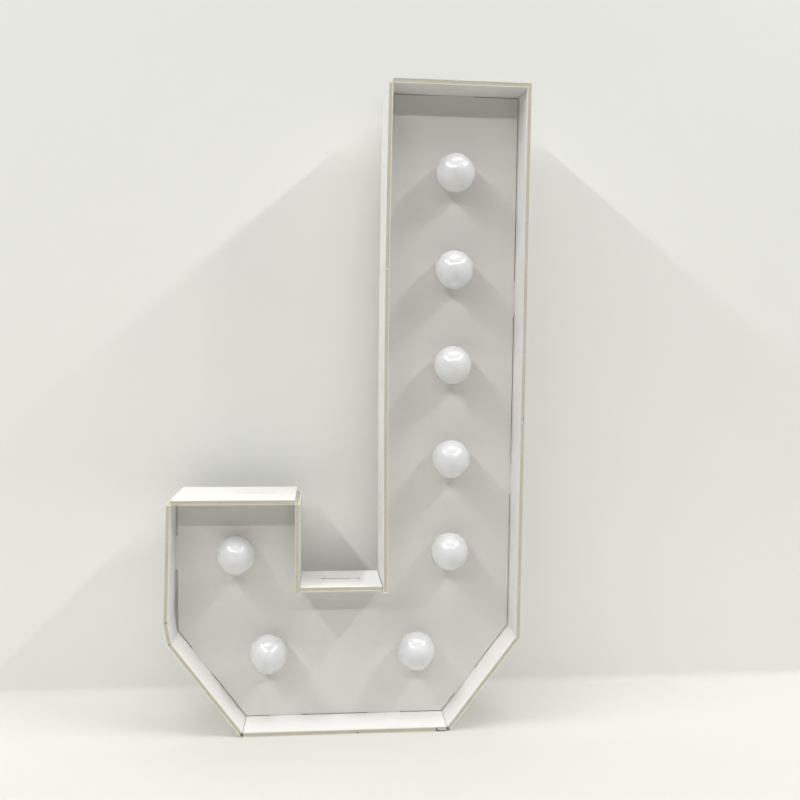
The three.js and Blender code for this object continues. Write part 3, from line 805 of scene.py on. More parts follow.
stem_left_joint = Vector((stem_top_left.x, STEM_LEFT_JOINT))
strip(
    "stem_left_upper_board",
    bowed_path(stem_top_left.y, STEM_LEFT_JOINT),
    slots_between(stem_top_left, stem_left_joint, [0.5]),
    LIT_BOARD,
)
strip(
    "stem_left_lower_board",
    bowed_path(STEM_LEFT_JOINT, notch_right.y),
    slots_between(stem_left_joint, notch_right, [0.3, 0.77]),
    LIT_BOARD,
)

# %% [markdown]
# ## The notch and the hook
# The floor of the notch sits between the two uprights and leans back, with its slot in plain
# sight. The hook's left side is pieced just above the foot, where the joint bulges out.

# %% Notch floor, hook and foot
NOTCH_FLOOR_RISE = 3.5
notch_middle = Vector((0, LETTER_DEPTH / 2, notch_right.y + BOARD / 2))
lean = (
    Matrix.Translation(notch_middle)
    @ Matrix.Rotation(-math.atan(NOTCH_FLOOR_RISE / (LETTER_DEPTH / 2)), 4, "X")
    @ Matrix.Translation(-notch_middle)
)
notch_start = Vector((stem_left_x - NOTCH_FLOOR_SHORTFALL, notch_right.y))
notch_end = Vector((HOOK_WIDTH, notch_left.y))
notch_shift = notch_start.x - notch_right.x
strip(
    "notch_floor_board",
    [notch_start, notch_end],
    slots_between(notch_right, notch_left, [0.5], notch_shift),
    LIT_BOARD,
    tilt=lean,
)
straight_strip("hook_right_board", notch_left, hook_top_right, 0.5)
straight_strip("hook_top_board", hook_top_right, hook_top_left, HOOK_SLOT_SHARE)
hook_joint = Vector((hook_top_left.x - HOOK_JOINT_BULGE, HOOK_JOINT))
strip(
    "hook_left_upper_board",
    [hook_top_left, hook_joint],
    slots_between(hook_top_left, Vector((hook_top_left.x, HOOK_JOINT)), [0.48]),
    LIT_BOARD,
)
strip("hook_left_lower_board", [hook_joint, chamfer_left], finishes=LIT_BOARD)
straight_strip("foot_left_board", chamfer_left, base_left, FOOT_SLOT_SHARE, LIT_FOOT_BOARD)

# %% [markdown]
# ## The base
# The base is one strip and a short offcut that fills the rest. The offcut was snapped and not
# cut, so its lower corner is torn and only partly thick.

# %% Base and its torn offcut
BASE_END_TEAR = 1.6
TEAR_CORNER, TEAR_FALL = 3, 2.5
TEAR_ROUGHNESS = 0.5
TEAR_SCALES = (2.2, 3.1)
LEAST_TEAR = 0.2

base_joint = Vector((base_right.x - BASE_END_LENGTH, base_right.y))
strip(
    "base_board",
    [base_left, base_joint],
    slots_between(base_left, base_right, [0.2, 0.7]),
    LIT_BOARD,
)


def torn_thickness(s, y):
    """How much of the board's thickness is left along the offcut."""
    to_shoulder = min(s / (2 * BASE_END_TEAR), 1)
    low = BASE_END_TEAR
    if to_shoulder < 1:
        low *= TEAR_CORNER - TEAR_FALL * to_shoulder
    low += TEAR_ROUGHNESS * noise.noise(Vector((s / TEAR_SCALES[0], y / TEAR_SCALES[1], 4.2)))
    return 1 - max(low, LEAST_TEAR) / BOARD


strip("base_end_board", [base_joint, base_right], (), LIT_BOARD, torn_thickness)

# %% [markdown]
# ## Paper over the joints
# Two slots are almost closed. On the hook's top the knife's flap of paper was pressed back over
# the tab, and on the notch floor a bridge of paper crosses the slot. Inside the base one sheet
# of liner runs over the joint of the offcut, and a sliver of paper fills the joint of the right
# side. Each is a thin strip, bent along its board's path.

# %% Thin paper strips
SHEET_PITCH = (4, 6)
SHEET_WAVE = 0.04
SHEET_WAVE_SCALE = 9


def paper_strip(name, path, run, depths, through, seed, finish, tilt=None):
    """A sheet of paper on or in a board, between two stops along it and two depths."""
    place_of, _ = bend_of(trimmed(path))
    steps = max(2, round((run[1] - run[0]) / SHEET_PITCH[0]))
    rows = max(2, round((depths[1] - depths[0]) / SHEET_PITCH[1]))
    bm = bmesh.new()
    sheet = {}
    for i in range(steps + 1):
        along = run[0] + (run[1] - run[0]) * i / steps
        for j in range(rows + 1):
            depth = depths[0] + (depths[1] - depths[0]) * j / rows
            place = (along / SHEET_WAVE_SCALE, depth / SHEET_WAVE_SCALE, seed)
            wave = SHEET_WAVE * noise.noise(Vector(place))
            for level in (0, 1):
                spot = place_of(along, through[level] + wave)
                sheet[i, j, level] = bm.verts.new((spot.x, depth, spot.y))
    for i in range(steps):
        for j in range(rows):
            ring = [(i, j), (i + 1, j), (i + 1, j + 1), (i, j + 1)]
            bm.faces.new([sheet[a, b, 0] for a, b in ring])
            bm.faces.new([sheet[a, b, 1] for a, b in reversed(ring)])
    rim = [(i, 0) for i in range(steps)] + [(steps, j) for j in range(rows)]
    rim += [(i, rows) for i in range(steps, 0, -1)] + [(0, j) for j in range(rows, 0, -1)]
    for a, b in zip(rim, rim[1:] + rim[:1]):
        bm.faces.new([sheet[(*a, 0)], sheet[(*a, 1)], sheet[(*b, 1)], sheet[(*b, 0)]])
    piece_of(name, on_bench(facing_out(bm), tilt), [finish])


# %% Flap, bridge, liner and sliver
FLAP_GAP = 0.4
FLAP_LEVELS = (BOARD - 1.25, BOARD - 0.35)
BRIDGE_START, BRIDGE_STOP = 7.5, 14.5
LINER_GAP = 0.4
LINER_LEVELS = (-0.5, -0.24)
SLIVER_HALF = 0.5
SLIVER_LEVELS = (0.06, 0.7)

slot_depths = (SLOT_FRONT + FLAP_GAP, SLOT_FRONT + SLOT_WIDTH - FLAP_GAP)
hook_slot = slots_between(hook_top_right, hook_top_left, [HOOK_SLOT_SHARE])[0]
flap_run = (hook_slot[0] - SEAT_GAP + FLAP_GAP, hook_slot[1] - SEAT_GAP - FLAP_GAP)
hook_path = [hook_top_right, hook_top_left]
paper_strip("pressed_flap", hook_path, flap_run, slot_depths, FLAP_LEVELS, 2.1, white_paper)

notch_slot = slots_between(notch_right, notch_left, [0.5], notch_shift)[0]
bridge_run = (notch_slot[0] + BRIDGE_START, notch_slot[0] + BRIDGE_STOP)
notch_path = [notch_start, notch_end]
paper_strip(
    "paper_bridge", notch_path, bridge_run, slot_depths, FLAP_LEVELS, 5.3, white_paper, lean
)

base_path = [base_left, base_right]
liner_run = (LINER_GAP, (base_right - base_left).length - 2 * SEAT_GAP - LINER_GAP)
liner_depths = (0.35, PANEL_FRONT - 0.5)
paper_strip("base_liner", base_path, liner_run, liner_depths, LINER_LEVELS, 8.7, lit_paper)

sliver_middle = (stem_right_joint - chamfer_right).length - SEAT_GAP
sliver_run = (sliver_middle - SLIVER_HALF, sliver_middle + SLIVER_HALF)
right_path = [chamfer_right, stem_top_right]
paper_strip("joint_sliver", right_path, sliver_run, liner_depths, SLIVER_LEVELS, 6.1, lit_paper)
print("slots closed by paper at", round(flap_run[0]), "and", round(bridge_run[0]), "mm along")

# %% [markdown]
# ## The face panel
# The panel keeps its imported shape: a flat J with tabs and eight bored holes. Its finish is laid
# through the board like the real sandwich. Near its front and back faces it is paper, and the
# rest is foam, so that the tab ends in the slots show their layers too.

# %% Panel finish through the board
PANEL_TOP_SHADE = (0.885, 0.885, 0.88)
SKIN_BLEND = 0.05 * MM
CORE_DARK, CORE_LIGHT = (0.58, 0.52, 0.42), (0.80, 0.75, 0.64)


def refinish(node, finish):
    """Lays a finish on a piece of the model that keeps its own shape."""
    for material_slot in frame["nodes"][node].material_slots:
        material_slot.link = "OBJECT"
        material_slot.material = finish


panel_low, panel_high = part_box("face_panel")
depth_now = axis_of(panel_paper, place_on(panel_paper), "Y")
panel_middle = (panel_low.y + panel_high.y) / 2
from_middle = maths(panel_paper, "SUBTRACT", depth_now, panel_middle)
off_middle = maths(panel_paper, "ABSOLUTE", from_middle)
skin_start = (BOARD / 2 - PAPER) * MM
is_skin = between(panel_paper, off_middle, 0, 1, skin_start, skin_start + SKIN_BLEND)
# Painted shade: the panel's paper darkens towards its top.
tint_upwards(panel_paper, panel_low.z, panel_high.z, PANEL_TOP_SHADE)
skin_tone = shader_of(panel_paper).inputs["Base Color"].links[0].from_socket
core_grain = clouds(panel_paper, 900, detail=4)
core_tone = blend_tones(panel_paper, core_grain, CORE_DARK, CORE_LIGHT)
panel_tone = blend_tones(panel_paper, is_skin, core_tone, skin_tone)
connect(panel_paper, panel_tone, "Base Color")
refinish("face_panel", panel_paper)
print("panel from", round(panel_low.y, 4), "to", round(panel_high.y, 4), "m deep")

# %% [markdown]
# ## Turned forms
# Globes and holders are bodies of revolution. A profile of radius and depth is turned about the
# lamp's axis, which points out of the panel. A profile that starts and ends on the axis closes
# by itself, and a loop that stays off it makes a ring or, turned part of the way, a lug.


# %% Turning a profile
def lofted(rings, closed=True, around=False):
    """Skins rings of points. Closed rings join up, and a loft that goes around has no ends."""
    bm = bmesh.new()
    rows = [[bm.verts.new(point) for point in ring] for ring in rings]
    count = len(rings[0])
    for here, there in zip(rows, rows[1:] + rows[:1] if around else rows[1:]):
        for i in range(count if closed else count - 1):
            j = (i + 1) % count
            bm.faces.new((here[i], here[j], there[j], there[i]))
    if not around:
        bm.faces.new(rows[0])
        bm.faces.new(rows[-1])
    bmesh.ops.remove_doubles(bm, verts=bm.verts, dist=1e-4)
    return facing_out(bm)


def turned(profile, steps, sweep=360, middle=0, loop=False):
    """Turns (radius, depth) points about the depth axis, in millimetres."""
    whole = sweep == 360
    rings = []
    for step in range(steps if whole else steps + 1):
        angle = math.radians(middle - sweep / 2 + sweep * step / steps)
        turn = Vector((math.cos(angle), 0, math.sin(angle)))
        rings.append([turn * r + Vector((0, d, 0)) for r, d in profile])
    return lofted(rings, loop, whole)


def joined(parts):
    """One mesh from several, each kept as its own closed body."""
    whole = bmesh.new()
    for part in parts:
        loose = bpy.data.meshes.new("loose")
        part.to_mesh(loose)
        part.free()
        whole.from_mesh(loose)
        bpy.data.meshes.remove(loose)
    return whole


# %% [markdown]
# ## Glue, torn paper and specks
# The letter was put together by hand, and it shows. Beads of dried glue and torn paper hang at
# the lower ends of the two uprights beside the notch. There are two rusty dots at the joint of
# the right side, a burr of paper at the joint of the left side, a grey spot under the base and
# a crease in the top. Each is a lump or a shred with its own small form. Behind the panel's
# front a thin line of glue runs down the right side.

# %% Dried glue and rust
dried_glue = drifting(
    "dried_glue",
    700,
    (0.74, 0.73, 0.69),
    (0.83, 0.82, 0.79),
    sheen=(1200, 3, 0.35, 0.6),
    IOR=1.48,
    Subsurface_Weight=0.3,
    Subsurface_Scale=0.001,
)
rust = drifting("rusty_speck", 1800, (0.26, 0.10, 0.06), (0.42, 0.22, 0.15), Roughness=0.8)
grime = drifting("grey_speck", 1600, (0.16, 0.15, 0.13), (0.30, 0.28, 0.25), Roughness=0.85)


# %% Lumps and shreds
UNEVENNESS = 0.5
SHRED_STEPS = 8
SHRED_THICKNESS = 0.35
SHRED_TAPER = 0.8
SHRED_SWAY = 0.9
SHRED_CURL = 1.4


def lump(spot, size, seed):
    """A small uneven bead, in drawing millimetres."""
    bm = bmesh.new()
    bmesh.ops.create_icosphere(bm, subdivisions=3, radius=1)
    for vert in bm.verts:
        vert.co *= 1 + UNEVENNESS * noise.noise(vert.co * 1.6 + Vector((seed, 0, 0)))
        vert.co = Vector(spot) + Vector([c * half for c, half in zip(vert.co, size)])
    return bm


def shred(top, length, width, seed):
    """A shred of torn paper that hangs from a point and tapers as it curls."""
    rings = []
    for step in range(SHRED_STEPS + 1):
        share = step / SHRED_STEPS
        ragged = 1 + UNEVENNESS * noise.noise(Vector((share * 5, seed, 0)))
        half = width / 2 * (1 - SHRED_TAPER * share) * ragged
        x = top[0] + SHRED_SWAY * share * noise.noise(Vector((seed, share * 2, 3.3)))
        front = top[1] + SHRED_CURL * share**2
        back = front + SHRED_THICKNESS
        ring = [(x - half, front), (x + half, front), (x + half, back), (x - half, back)]
        rings.append([(*point, top[2] - length * share) for point in ring])
    return lofted(rings)


# %% Marks of handwork
hook_edge_x = HOOK_WIDTH - BOARD / 2
stem_edge_x = stem_left_x + BOARD / 2
upright_low = notch_right.y + 0.3
beads = [
    ((hook_edge_x - 1.2, 0.7, upright_low - 0.1), (2.0, 1.1, 0.9)),
    ((hook_edge_x + 1.7, 0.6, upright_low + 0.3), (1.6, 0.9, 1.1)),
    ((stem_edge_x - 1.0, 0.7, upright_low), (2.1, 1.1, 1.0)),
    ((stem_edge_x + 2.0, 0.6, upright_low + 0.4), (1.5, 0.9, 1.2)),
]
glue_lumps = [lump(spot, size, 3.1 + i) for i, (spot, size) in enumerate(beads)]
piece_of("dried_glue_beads", on_bench(joined(glue_lumps)), [dried_glue])
shreds = [
    shred((hook_edge_x - 1.8, 0.6, upright_low), 5.2, 1.7, 1.2),
    shred((hook_edge_x + 1.4, 0.9, upright_low), 3.4, 1.3, 4.4),
    shred((stem_edge_x + 1.2, 0.8, upright_low), 2.4, 1.6, 7.9),
]
piece_of("torn_paper_shreds", on_bench(joined(shreds)), [white_paper])
specks = [
    ("rusty_speck_1", (495.6, 0.25, STEM_RIGHT_JOINT + 4.6), (0.9, 0.35, 0.8), rust),
    ("rusty_speck_2", (495.9, 0.0, STEM_RIGHT_JOINT), (0.9, 0.3, 0.8), rust),
    ("grey_speck", (266.0, 0.2, 1.9), (1.5, 0.4, 0.9), grime),
    ("top_crease", (392.0, 0.2, LETTER_HEIGHT - 2.2), (0.5, 0.3, 1.8), dried_glue),
    ("paper_burr", (300.6, 0.3, STEM_LEFT_JOINT), (2.3, 0.5, 0.9), dried_glue),
    ("glue_blot", (495.1, 0.35, STEM_RIGHT_JOINT), (2.0, 0.4, 2.0), dried_glue),
]
for number, (name, spot, size, finish) in enumerate(specks):
    piece_of(name, on_bench(lump(spot, size, 11.3 + number)), [finish])

SEAM_LEVELS = (-0.32, -0.04)
seam_run = (4, sliver_middle - 1)
seam_depths = (PANEL_FRONT + 0.4, PANEL_FRONT + 1.4)
paper_strip("glue_seam", right_path, seam_run, seam_depths, SEAM_LEVELS, 7.3, dried_glue)
print("marks:", len(beads), "beads,", len(shreds), "shreds,", len(specks), "specks")

# %% [markdown]
# ## Where the lamps sit
# Five lamps run down the middle of the stem, two cut the corners of the foot, and one sits in
# the hook. The model knows each place: a globe's box is centred on its lamp.

# %% Lamp places
LAMP_COUNT = 8
lamp_places = []
for number in range(1, LAMP_COUNT + 1):
    low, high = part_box(f"globe_{number}")
    lamp_places.append(Vector(((low.x + high.x) / 2, panel_low.y, (low.z + high.z) / 2)))
print("lamps at heights", [round(p.z, 3) for p in lamp_places])


def at_each_lamp(label, shape, finishes, node, body=None):
    """Puts a copy of a shape at every lamp, in place of the model's own piece."""
    for number, spot in enumerate(lamp_places, start=1):
        own = f"{node}_{number}"
        bm = placed(shape.copy(), spot)
        piece_of(f"{label}_{number}", bm, finishes, body or own, [own])
    print(label, "made with", len(shape.faces), "faces each")
    shape.free()


# %% [markdown]
# ## Frosted globes
# Each globe is a thin blown shell of milky plastic: bright and even, with a hard gloss that
# mirrors the lights above. Light enters the wall and spreads, so the shell glows at its shaded
# side too. Subsurface scatter gives that, with a smooth clear surface over it.

# %% Globe finish
milky_plastic = new_finish(
    "milky_plastic",
    Roughness=0.22,
    IOR=1.53,
    Subsurface_Weight=0.5,
    Subsurface_Scale=0.007,
    Coat_Weight=1.0,
    Coat_Roughness=0.02,
    Coat_IOR=1.55,
    Subsurface_Radius=(1.0, 0.95, 0.85),
)
flow = clouds(milky_plastic, 34, detail=2, stretch=(1, 0.4, 1))
milky_tone = blend_tones(milky_plastic, flow, (0.93, 0.927, 0.915), (0.95, 0.947, 0.935))
connect(milky_plastic, milky_tone, "Base Color")
relief(milky_plastic, clouds(milky_plastic, 45, detail=1), 0.06, 0.0008)

# %% Globe shells
GLOBE_RADIUS = 27.5
GLOBE_WALL = 1.4
GLOBE_STANDOFF = 18
NECK_RADIUS = 16.6
NECK_WALL = 1.7
LUG_REACH = 1.6
LUG_THICKNESS = 3
LUG_SWEEP = 24
LUG_ANGLES = (0, 120, 240)
OUTER_RINGS, INNER_RINGS = 36, 28
ROUND_STEPS = 72
COLLAR_FRONT = BOARD + SEAT_GAP
COLLAR_THICKNESS = 4
LUG_FRONT = COLLAR_FRONT + COLLAR_THICKNESS + SEAT_GAP
NECK_END = LUG_FRONT + LUG_THICKNESS


def arc(radius, end_radius, rings):
    """Points of a globe's meridian, from its pole to where it meets the end radius."""
    sweep = math.pi - math.asin(end_radius / radius)
    angles = [sweep * ring / rings for ring in range(rings + 1)]
    return [(radius * math.sin(a), -GLOBE_STANDOFF - radius * math.cos(a)) for a in angles]


def globe_mesh():
    seat = math.sqrt(GLOBE_RADIUS**2 - (GLOBE_STANDOFF - SEAT_GAP) ** 2)
    shell = arc(GLOBE_RADIUS, seat, OUTER_RINGS)
    bore = NECK_RADIUS - NECK_WALL
    shell += [(NECK_RADIUS, -SEAT_GAP), (NECK_RADIUS, NECK_END), (bore, NECK_END)]
    shell += reversed(arc(GLOBE_RADIUS - GLOBE_WALL, bore, INNER_RINGS))
    root, tip = NECK_RADIUS - NECK_WALL / 2, NECK_RADIUS + LUG_REACH
    tooth = [(root, LUG_FRONT), (tip, LUG_FRONT), (tip, NECK_END), (root, NECK_END)]
    lugs = [turned(tooth, 6, LUG_SWEEP, angle, loop=True) for angle in LUG_ANGLES]
    return joined([turned(shell, ROUND_STEPS), *lugs])


at_each_lamp("frosted_globe", globe_mesh(), [milky_plastic], "globe")

# %% [markdown]
# ## Lamp holders
# Behind the panel each globe turns into a moulded holder: a flange against the board, a barrel
# with a domed end, three webs, and a bore on either side for the lamp wires. The barrel is
# turned as one closed profile. Real cuts then make the gates and tracks that the globe's lugs
# run in, because an eye that looks in past a globe expects an open socket.

# %% Moulded white plastic
white_plastic = drifting(
    "moulded_white_plastic",
    30,
    (0.77, 0.77, 0.75),
    (0.83, 0.83, 0.81),
    sheen=(160, 5, 0.3, 0.46),
    grain=(2200, 2, 0.12, 0.0001),
    IOR=1.5,
    Subsurface_Weight=0.12,
    Subsurface_Scale=0.003,
)

# %% Holder sizes
LIGHT_BAY_DEPTH = 3
WIRE_BAY_DEPTH = 8
WIRE_BORE_RADIUS = 2.4
LEDGE_WIDTH = 2.4
HOLDER_WALL = 2.2
FLANGE_RADIUS = 25
FLANGE_THICKNESS = 2
WEB_THICKNESS = 1.6
TURN_CLEARANCE = 0.5
TWIST = 50
WEB_TIP = 1.2
EDGE_ROUND = 0.4
FILLET = 0.9
DOME_STEPS = 6
WIRE_BORE_STEPS = 28
NECK_BORE = NECK_RADIUS + LUG_REACH + TURN_CLEARANCE
BARREL_RADIUS = NECK_BORE + HOLDER_WALL
LIGHT_BAY_FRONT = NECK_END + TURN_CLEARANCE
LEDGE_DEPTH = LIGHT_BAY_FRONT + LIGHT_BAY_DEPTH
WIRE_BAY_END = LEDGE_DEPTH + WIRE_BAY_DEPTH
LIGHT_BAY_RADIUS = NECK_RADIUS - NECK_WALL


def carved(name, bm, cutters):
    """Cuts several closed bodies out of another and gives the result as a new mesh."""
    scratch = []
    for number, part in enumerate([bm, *cutters]):
        label = f"{name}_scratch_{number}"
        mesh = bpy.data.meshes.new(label)
        part.to_mesh(mesh)
        part.free()
        scratch.append(new_object(label, mesh))
    for cutter in scratch[1:]:
        step = scratch[0].modifiers.new(cutter.name, "BOOLEAN")
        step.operation, step.solver, step.object = "DIFFERENCE", "EXACT", cutter
    bpy.context.view_layer.update()
    seen = scratch[0].evaluated_get(bpy.context.evaluated_depsgraph_get())
    result = bmesh.new()
    result.from_mesh(seen.to_mesh())
    for body in scratch:
        bpy.data.objects.remove(body)
    return result


# %% Barrel, flange and webs
def web(angle):
    """One stiffening web between the flange and the barrel."""
    inner = BARREL_RADIUS - HOLDER_WALL / 2
    face = COLLAR_FRONT + FLANGE_THICKNESS / 2
    low = (COLLAR_FRONT + WIRE_BAY_END) / 2
    rim = FLANGE_RADIUS - SEAT_GAP
    outline = [(inner, face), (rim, face)]
    outline += [(FLANGE_RADIUS - WEB_TIP, face + WEB_THICKNESS), (inner, low)]
    sides = (-WEB_THICKNESS / 2, WEB_THICKNESS / 2)
    bm = lofted([[(r, d, z) for r, d in outline] for z in sides])
    bmesh.ops.rotate(bm, verts=bm.verts, matrix=Matrix.Rotation(math.radians(angle), 3, "Y"))
    return bm


ledge_radius = LIGHT_BAY_RADIUS - LEDGE_WIDTH
flange_rear = COLLAR_FRONT + FLANGE_THICKNESS
holder_profile = [
    (0, WIRE_BAY_END),
    (ledge_radius, WIRE_BAY_END),
    (ledge_radius, LEDGE_DEPTH),
    (LIGHT_BAY_RADIUS, LEDGE_DEPTH),
    (LIGHT_BAY_RADIUS, LIGHT_BAY_FRONT),
    (NECK_RADIUS + TURN_CLEARANCE, LIGHT_BAY_FRONT),
    (NECK_RADIUS + TURN_CLEARANCE, COLLAR_FRONT),
    (FLANGE_RADIUS - EDGE_ROUND, COLLAR_FRONT),
    (FLANGE_RADIUS, COLLAR_FRONT + EDGE_ROUND),
    (FLANGE_RADIUS, flange_rear - EDGE_ROUND),
    (FLANGE_RADIUS - EDGE_ROUND, flange_rear),
    (BARREL_RADIUS + FILLET, flange_rear),
    (BARREL_RADIUS + 0.25, flange_rear + 0.25),
    (BARREL_RADIUS, flange_rear + FILLET),
]
for step in range(DOME_STEPS + 1):
    bend = math.pi / 2 * step / DOME_STEPS
    radius = BARREL_RADIUS - HOLDER_WALL * (1 - math.cos(bend))
    holder_profile.append((radius, WIRE_BAY_END + HOLDER_WALL * math.sin(bend)))
holder_profile.append((0, WIRE_BAY_END + HOLDER_WALL))


# %% Gates, tracks and wire bores
def slice_of_ring(inner, outer, front, rear, middle, sweep):
    outline = [(inner, front), (outer, front), (outer, rear), (inner, rear)]
    return turned(outline, max(4, round(sweep / 5)), sweep, middle, loop=True)


def holder_mesh():
    gate = LUG_SWEEP + 2 * math.degrees(TURN_CLEARANCE / NECK_RADIUS)
    reach = (LIGHT_BAY_RADIUS, NECK_BORE)
    track = (LUG_FRONT - SEAT_GAP, LIGHT_BAY_FRONT + 0.1)
    cutters = []
    for angle in LUG_ANGLES:
        cutters.append(slice_of_ring(*reach, -3, LIGHT_BAY_FRONT, angle + TWIST, gate))
        cutters.append(slice_of_ring(*reach, *track, angle + TWIST / 2, gate + TWIST))
    bore = bmesh.new()
    bmesh.ops.create_cone(
        bore,
        cap_ends=True,
        segments=WIRE_BORE_STEPS,
        radius1=WIRE_BORE_RADIUS,
        radius2=WIRE_BORE_RADIUS,
        depth=3 * BARREL_RADIUS,
        matrix=Matrix.Translation((0, WIRE_BAY_END - WIRE_BAY_DEPTH / 2, 0)),
    )
    webs = [web(angle + 60) for angle in LUG_ANGLES]
    barrel = turned(holder_profile, ROUND_STEPS)
    return joined([carved("holder", barrel, [*cutters, bore]), *webs])


at_each_lamp("moulded_holder", holder_mesh(), [white_plastic], "lamp_holder", "letter")

# %% [markdown]
# ## Light boards
# Each holder carries a small round circuit board with one light under a clear dome. Only a
# glimpse of it shows past a globe that has been drawn out, so a turned disc and a turned dome
# are enough.

# %% Light board finishes
lacquer = drifting(
    "white_lacquer",
    300,
    (0.72, 0.73, 0.71),
    (0.80, 0.81, 0.79),
    grain=(900, 3, 0.1, 0.0001),
    Roughness=0.35,
    IOR=1.5,
)
amber_dome = drifting(
    "amber_dome",
    400,
    (0.80, 0.66, 0.30),
    (0.86, 0.74, 0.40),
    Roughness=0.12,
    IOR=1.45,
    Subsurface_Weight=0.4,
    Subsurface_Scale=0.001,
)

# %% Light boards
LIGHT_BOARD_THICKNESS = 1.6
LIGHT_DOME = 4
LIGHT_DOME_STEPS = 10
DISC_EDGE = 0.15

board_rear = LEDGE_DEPTH - SEAT_GAP
board_front = board_rear - LIGHT_BOARD_THICKNESS


def light_board_mesh():
    edge = LIGHT_BAY_RADIUS - TURN_CLEARANCE
    disc = [(0, board_front), (edge - DISC_EDGE, board_front), (edge, board_front + DISC_EDGE)]
    disc += [(edge, board_rear), (0, board_rear)]
    angles = [math.pi / 2 * step / LIGHT_DOME_STEPS for step in range(LIGHT_DOME_STEPS + 1)]
    dome = [(LIGHT_DOME * math.sin(a), board_front - LIGHT_DOME * math.cos(a)) for a in angles]
    dome += [(LIGHT_DOME, board_front + 0.2), (0, board_front + 0.2)]
    bm = joined([turned(disc, 48), turned(dome, 32)])
    for face in bm.faces:
        face.material_index = int(face.calc_center_median().y < board_front - 0.01)
    return bm


board_finishes = [lacquer, amber_dome]
at_each_lamp("round_light_board", light_board_mesh(), board_finishes, "light_board", "letter")
print("light boards", round(board_front - BOARD, 1), "mm behind the panel's rear")

# %% [markdown]
# ## Battery box
# The box, its lid and the switch's slider are moulded in black plastic. Moulded edges are never
# knife sharp, and the thin lines of light along them tell the eye that this is plastic. Each
# piece takes its shape from the model, with every outer edge rounded a little.

# %% Black plastic
black_plastic = drifting(
    "black_plastic",
    60,
    (0.016, 0.016, 0.018),
    (0.030, 0.030, 0.032),
    sheen=(240, 5, 0.38, 0.56),
    grain=(3200, 2, 0.35, 0.00008),
    IOR=1.5,
    Specular_IOR_Level=0.45,
)


# %% Rounded copies
def rounded_from(node, width, body):
    """The node's own shape with its sharp edges rounded by a width in millimetres."""
    bm = bmesh.new()
    bm.from_mesh(frame["nodes"][node].data)
    bmesh.ops.remove_doubles(bm, verts=bm.verts, dist=0.002 * MM)
    bmesh.ops.dissolve_limit(bm, angle_limit=math.radians(1), verts=bm.verts, edges=bm.edges)
    folds = [e for e in bm.edges if e.is_manifold and e.is_convex]
    bmesh.ops.bevel(
        bm,
        geom=[e for e in folds if e.calc_face_angle(0) > CRISP_ANGLE],
        offset=width * MM,
        segments=2,
        profile=0.5,
        affect="EDGES",
        clamp_overlap=True,
    )
    bmesh.ops.triangulate(bm, faces=bm.faces)
    made = piece_of(f"moulded_{node}", bm, [black_plastic], body, [node])
    print(made.name, "has", len(made.data.polygons), "faces")


rounded_from("battery_housing", 0.35, "letter")
rounded_from("battery_lid", 0.2, "battery_lid")
rounded_from("switch_slider", 0.2, "switch_slider")

# %% [markdown]
# ## Cells, contacts and tape
# Three cells lie head to tail in the box. Each has a steel can in a plain printed sleeve, drawn
# in over the shoulder, with a bright nub at one end. The contacts are nickel plated sheet, and
# two strips of foam tape hold the box against the panel. Contacts and tape keep their packed
# shapes, which are right as they are.

# %% Cell finish
sleeve = new_finish("plain_sleeve", Roughness=0.32, IOR=1.5, Coat_Weight=0.3)
scuffs = clouds(sleeve, 120, detail=6, stretch=(1, 1, 0.12))
scuffed = between(sleeve, scuffs, 0, 1, 0.45, 0.75)
sleeve_tone = blend_tones(sleeve, scuffed, (0.21, 0.22, 0.235), (0.29, 0.30, 0.31))
connect(sleeve, sleeve_tone, "Base Color")
relief(sleeve, scuffs, 0.1, 0.0001)
STEEL_TONES = ((0.55, 0.55, 0.54), (0.68, 0.68, 0.66))
steel = drifting("drawn_steel", 500, *STEEL_TONES, sheen=(900, 4, 0.2, 0.42), Metallic=1.0)

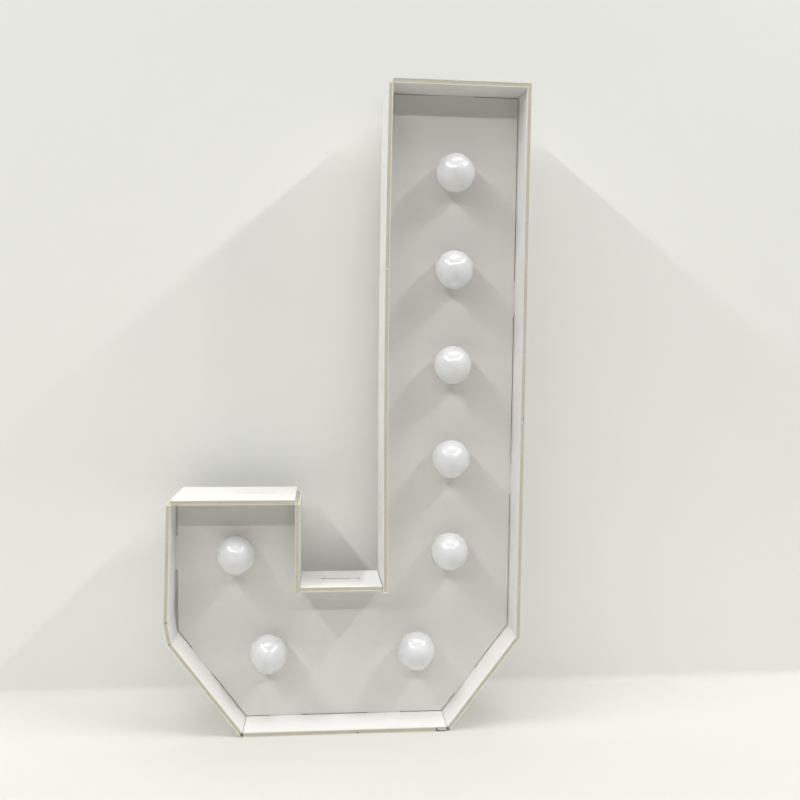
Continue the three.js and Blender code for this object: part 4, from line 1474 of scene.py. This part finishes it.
# %% Cells
NUB_RADIUS = 2.7
NUB_LENGTH = 1.3
CAN_ROUND = 0.7
CAN_ROUND_STEPS = 4
END_RING = 1.1


def cell_mesh(low, high, nub_up):
    """A can with its nub, standing either way up between two corners of its box."""
    radius = (high.x - low.x) / 2 / MM
    length = (high.z - low.z) / MM - NUB_LENGTH
    tip = length + NUB_LENGTH
    can = [(0, 0), (radius - CAN_ROUND, 0)]
    for step in range(CAN_ROUND_STEPS + 1):
        bend = math.pi / 2 * step / CAN_ROUND_STEPS
        across, up = CAN_ROUND * math.sin(bend), CAN_ROUND * (1 - math.cos(bend))
        can.append((radius - CAN_ROUND + across, up))
    can += [(radius - r, length - d) for r, d in ((0, CAN_ROUND), (0.2, 0.2), (CAN_ROUND, 0))]
    can += [(NUB_RADIUS + 0.6, length), (NUB_RADIUS + 0.2, length - 0.2), (NUB_RADIUS, length)]
    can += [(NUB_RADIUS, tip - 0.3), (NUB_RADIUS - 0.3, tip), (0, tip)]
    bm = turned(can, 48)
    for face in bm.faces:
        middle = face.calc_center_median()
        face.material_index = int(math.hypot(middle.x, middle.z) < radius - END_RING)
    way = 1 if nub_up else -1
    bmesh.ops.rotate(bm, verts=bm.verts, matrix=Matrix.Rotation(way * math.pi / 2, 3, "X"))
    return placed(bm, ((low.x + high.x) / 2, (low.y + high.y) / 2, low.z if nub_up else high.z))


for number in (1, 2, 3):
    node = f"battery_cell_{number}"
    cell = cell_mesh(*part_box(node), number != 2)
    piece_of(f"sleeved_cell_{number}", cell, [sleeve, steel], "letter", [node])

# %% Contacts and tape
NICKEL_TONES = ((0.60, 0.58, 0.53), (0.72, 0.70, 0.66))
nickel = drifting("nickel_plate", 700, *NICKEL_TONES, sheen=(1500, 4, 0.18, 0.4), Metallic=1.0)
TAPE_TONES = ((0.60, 0.59, 0.55), (0.74, 0.73, 0.69))
foam_tape = drifting("foam_tape", 1200, *TAPE_TONES, grain=(2600, 4, 0.5, 0.0002), Roughness=0.9)

for number in (1, 2, 3, 4):
    refinish(f"battery_contact_{number}", nickel)
for number in (1, 2):
    refinish(f"tape_strip_{number}", foam_tape)
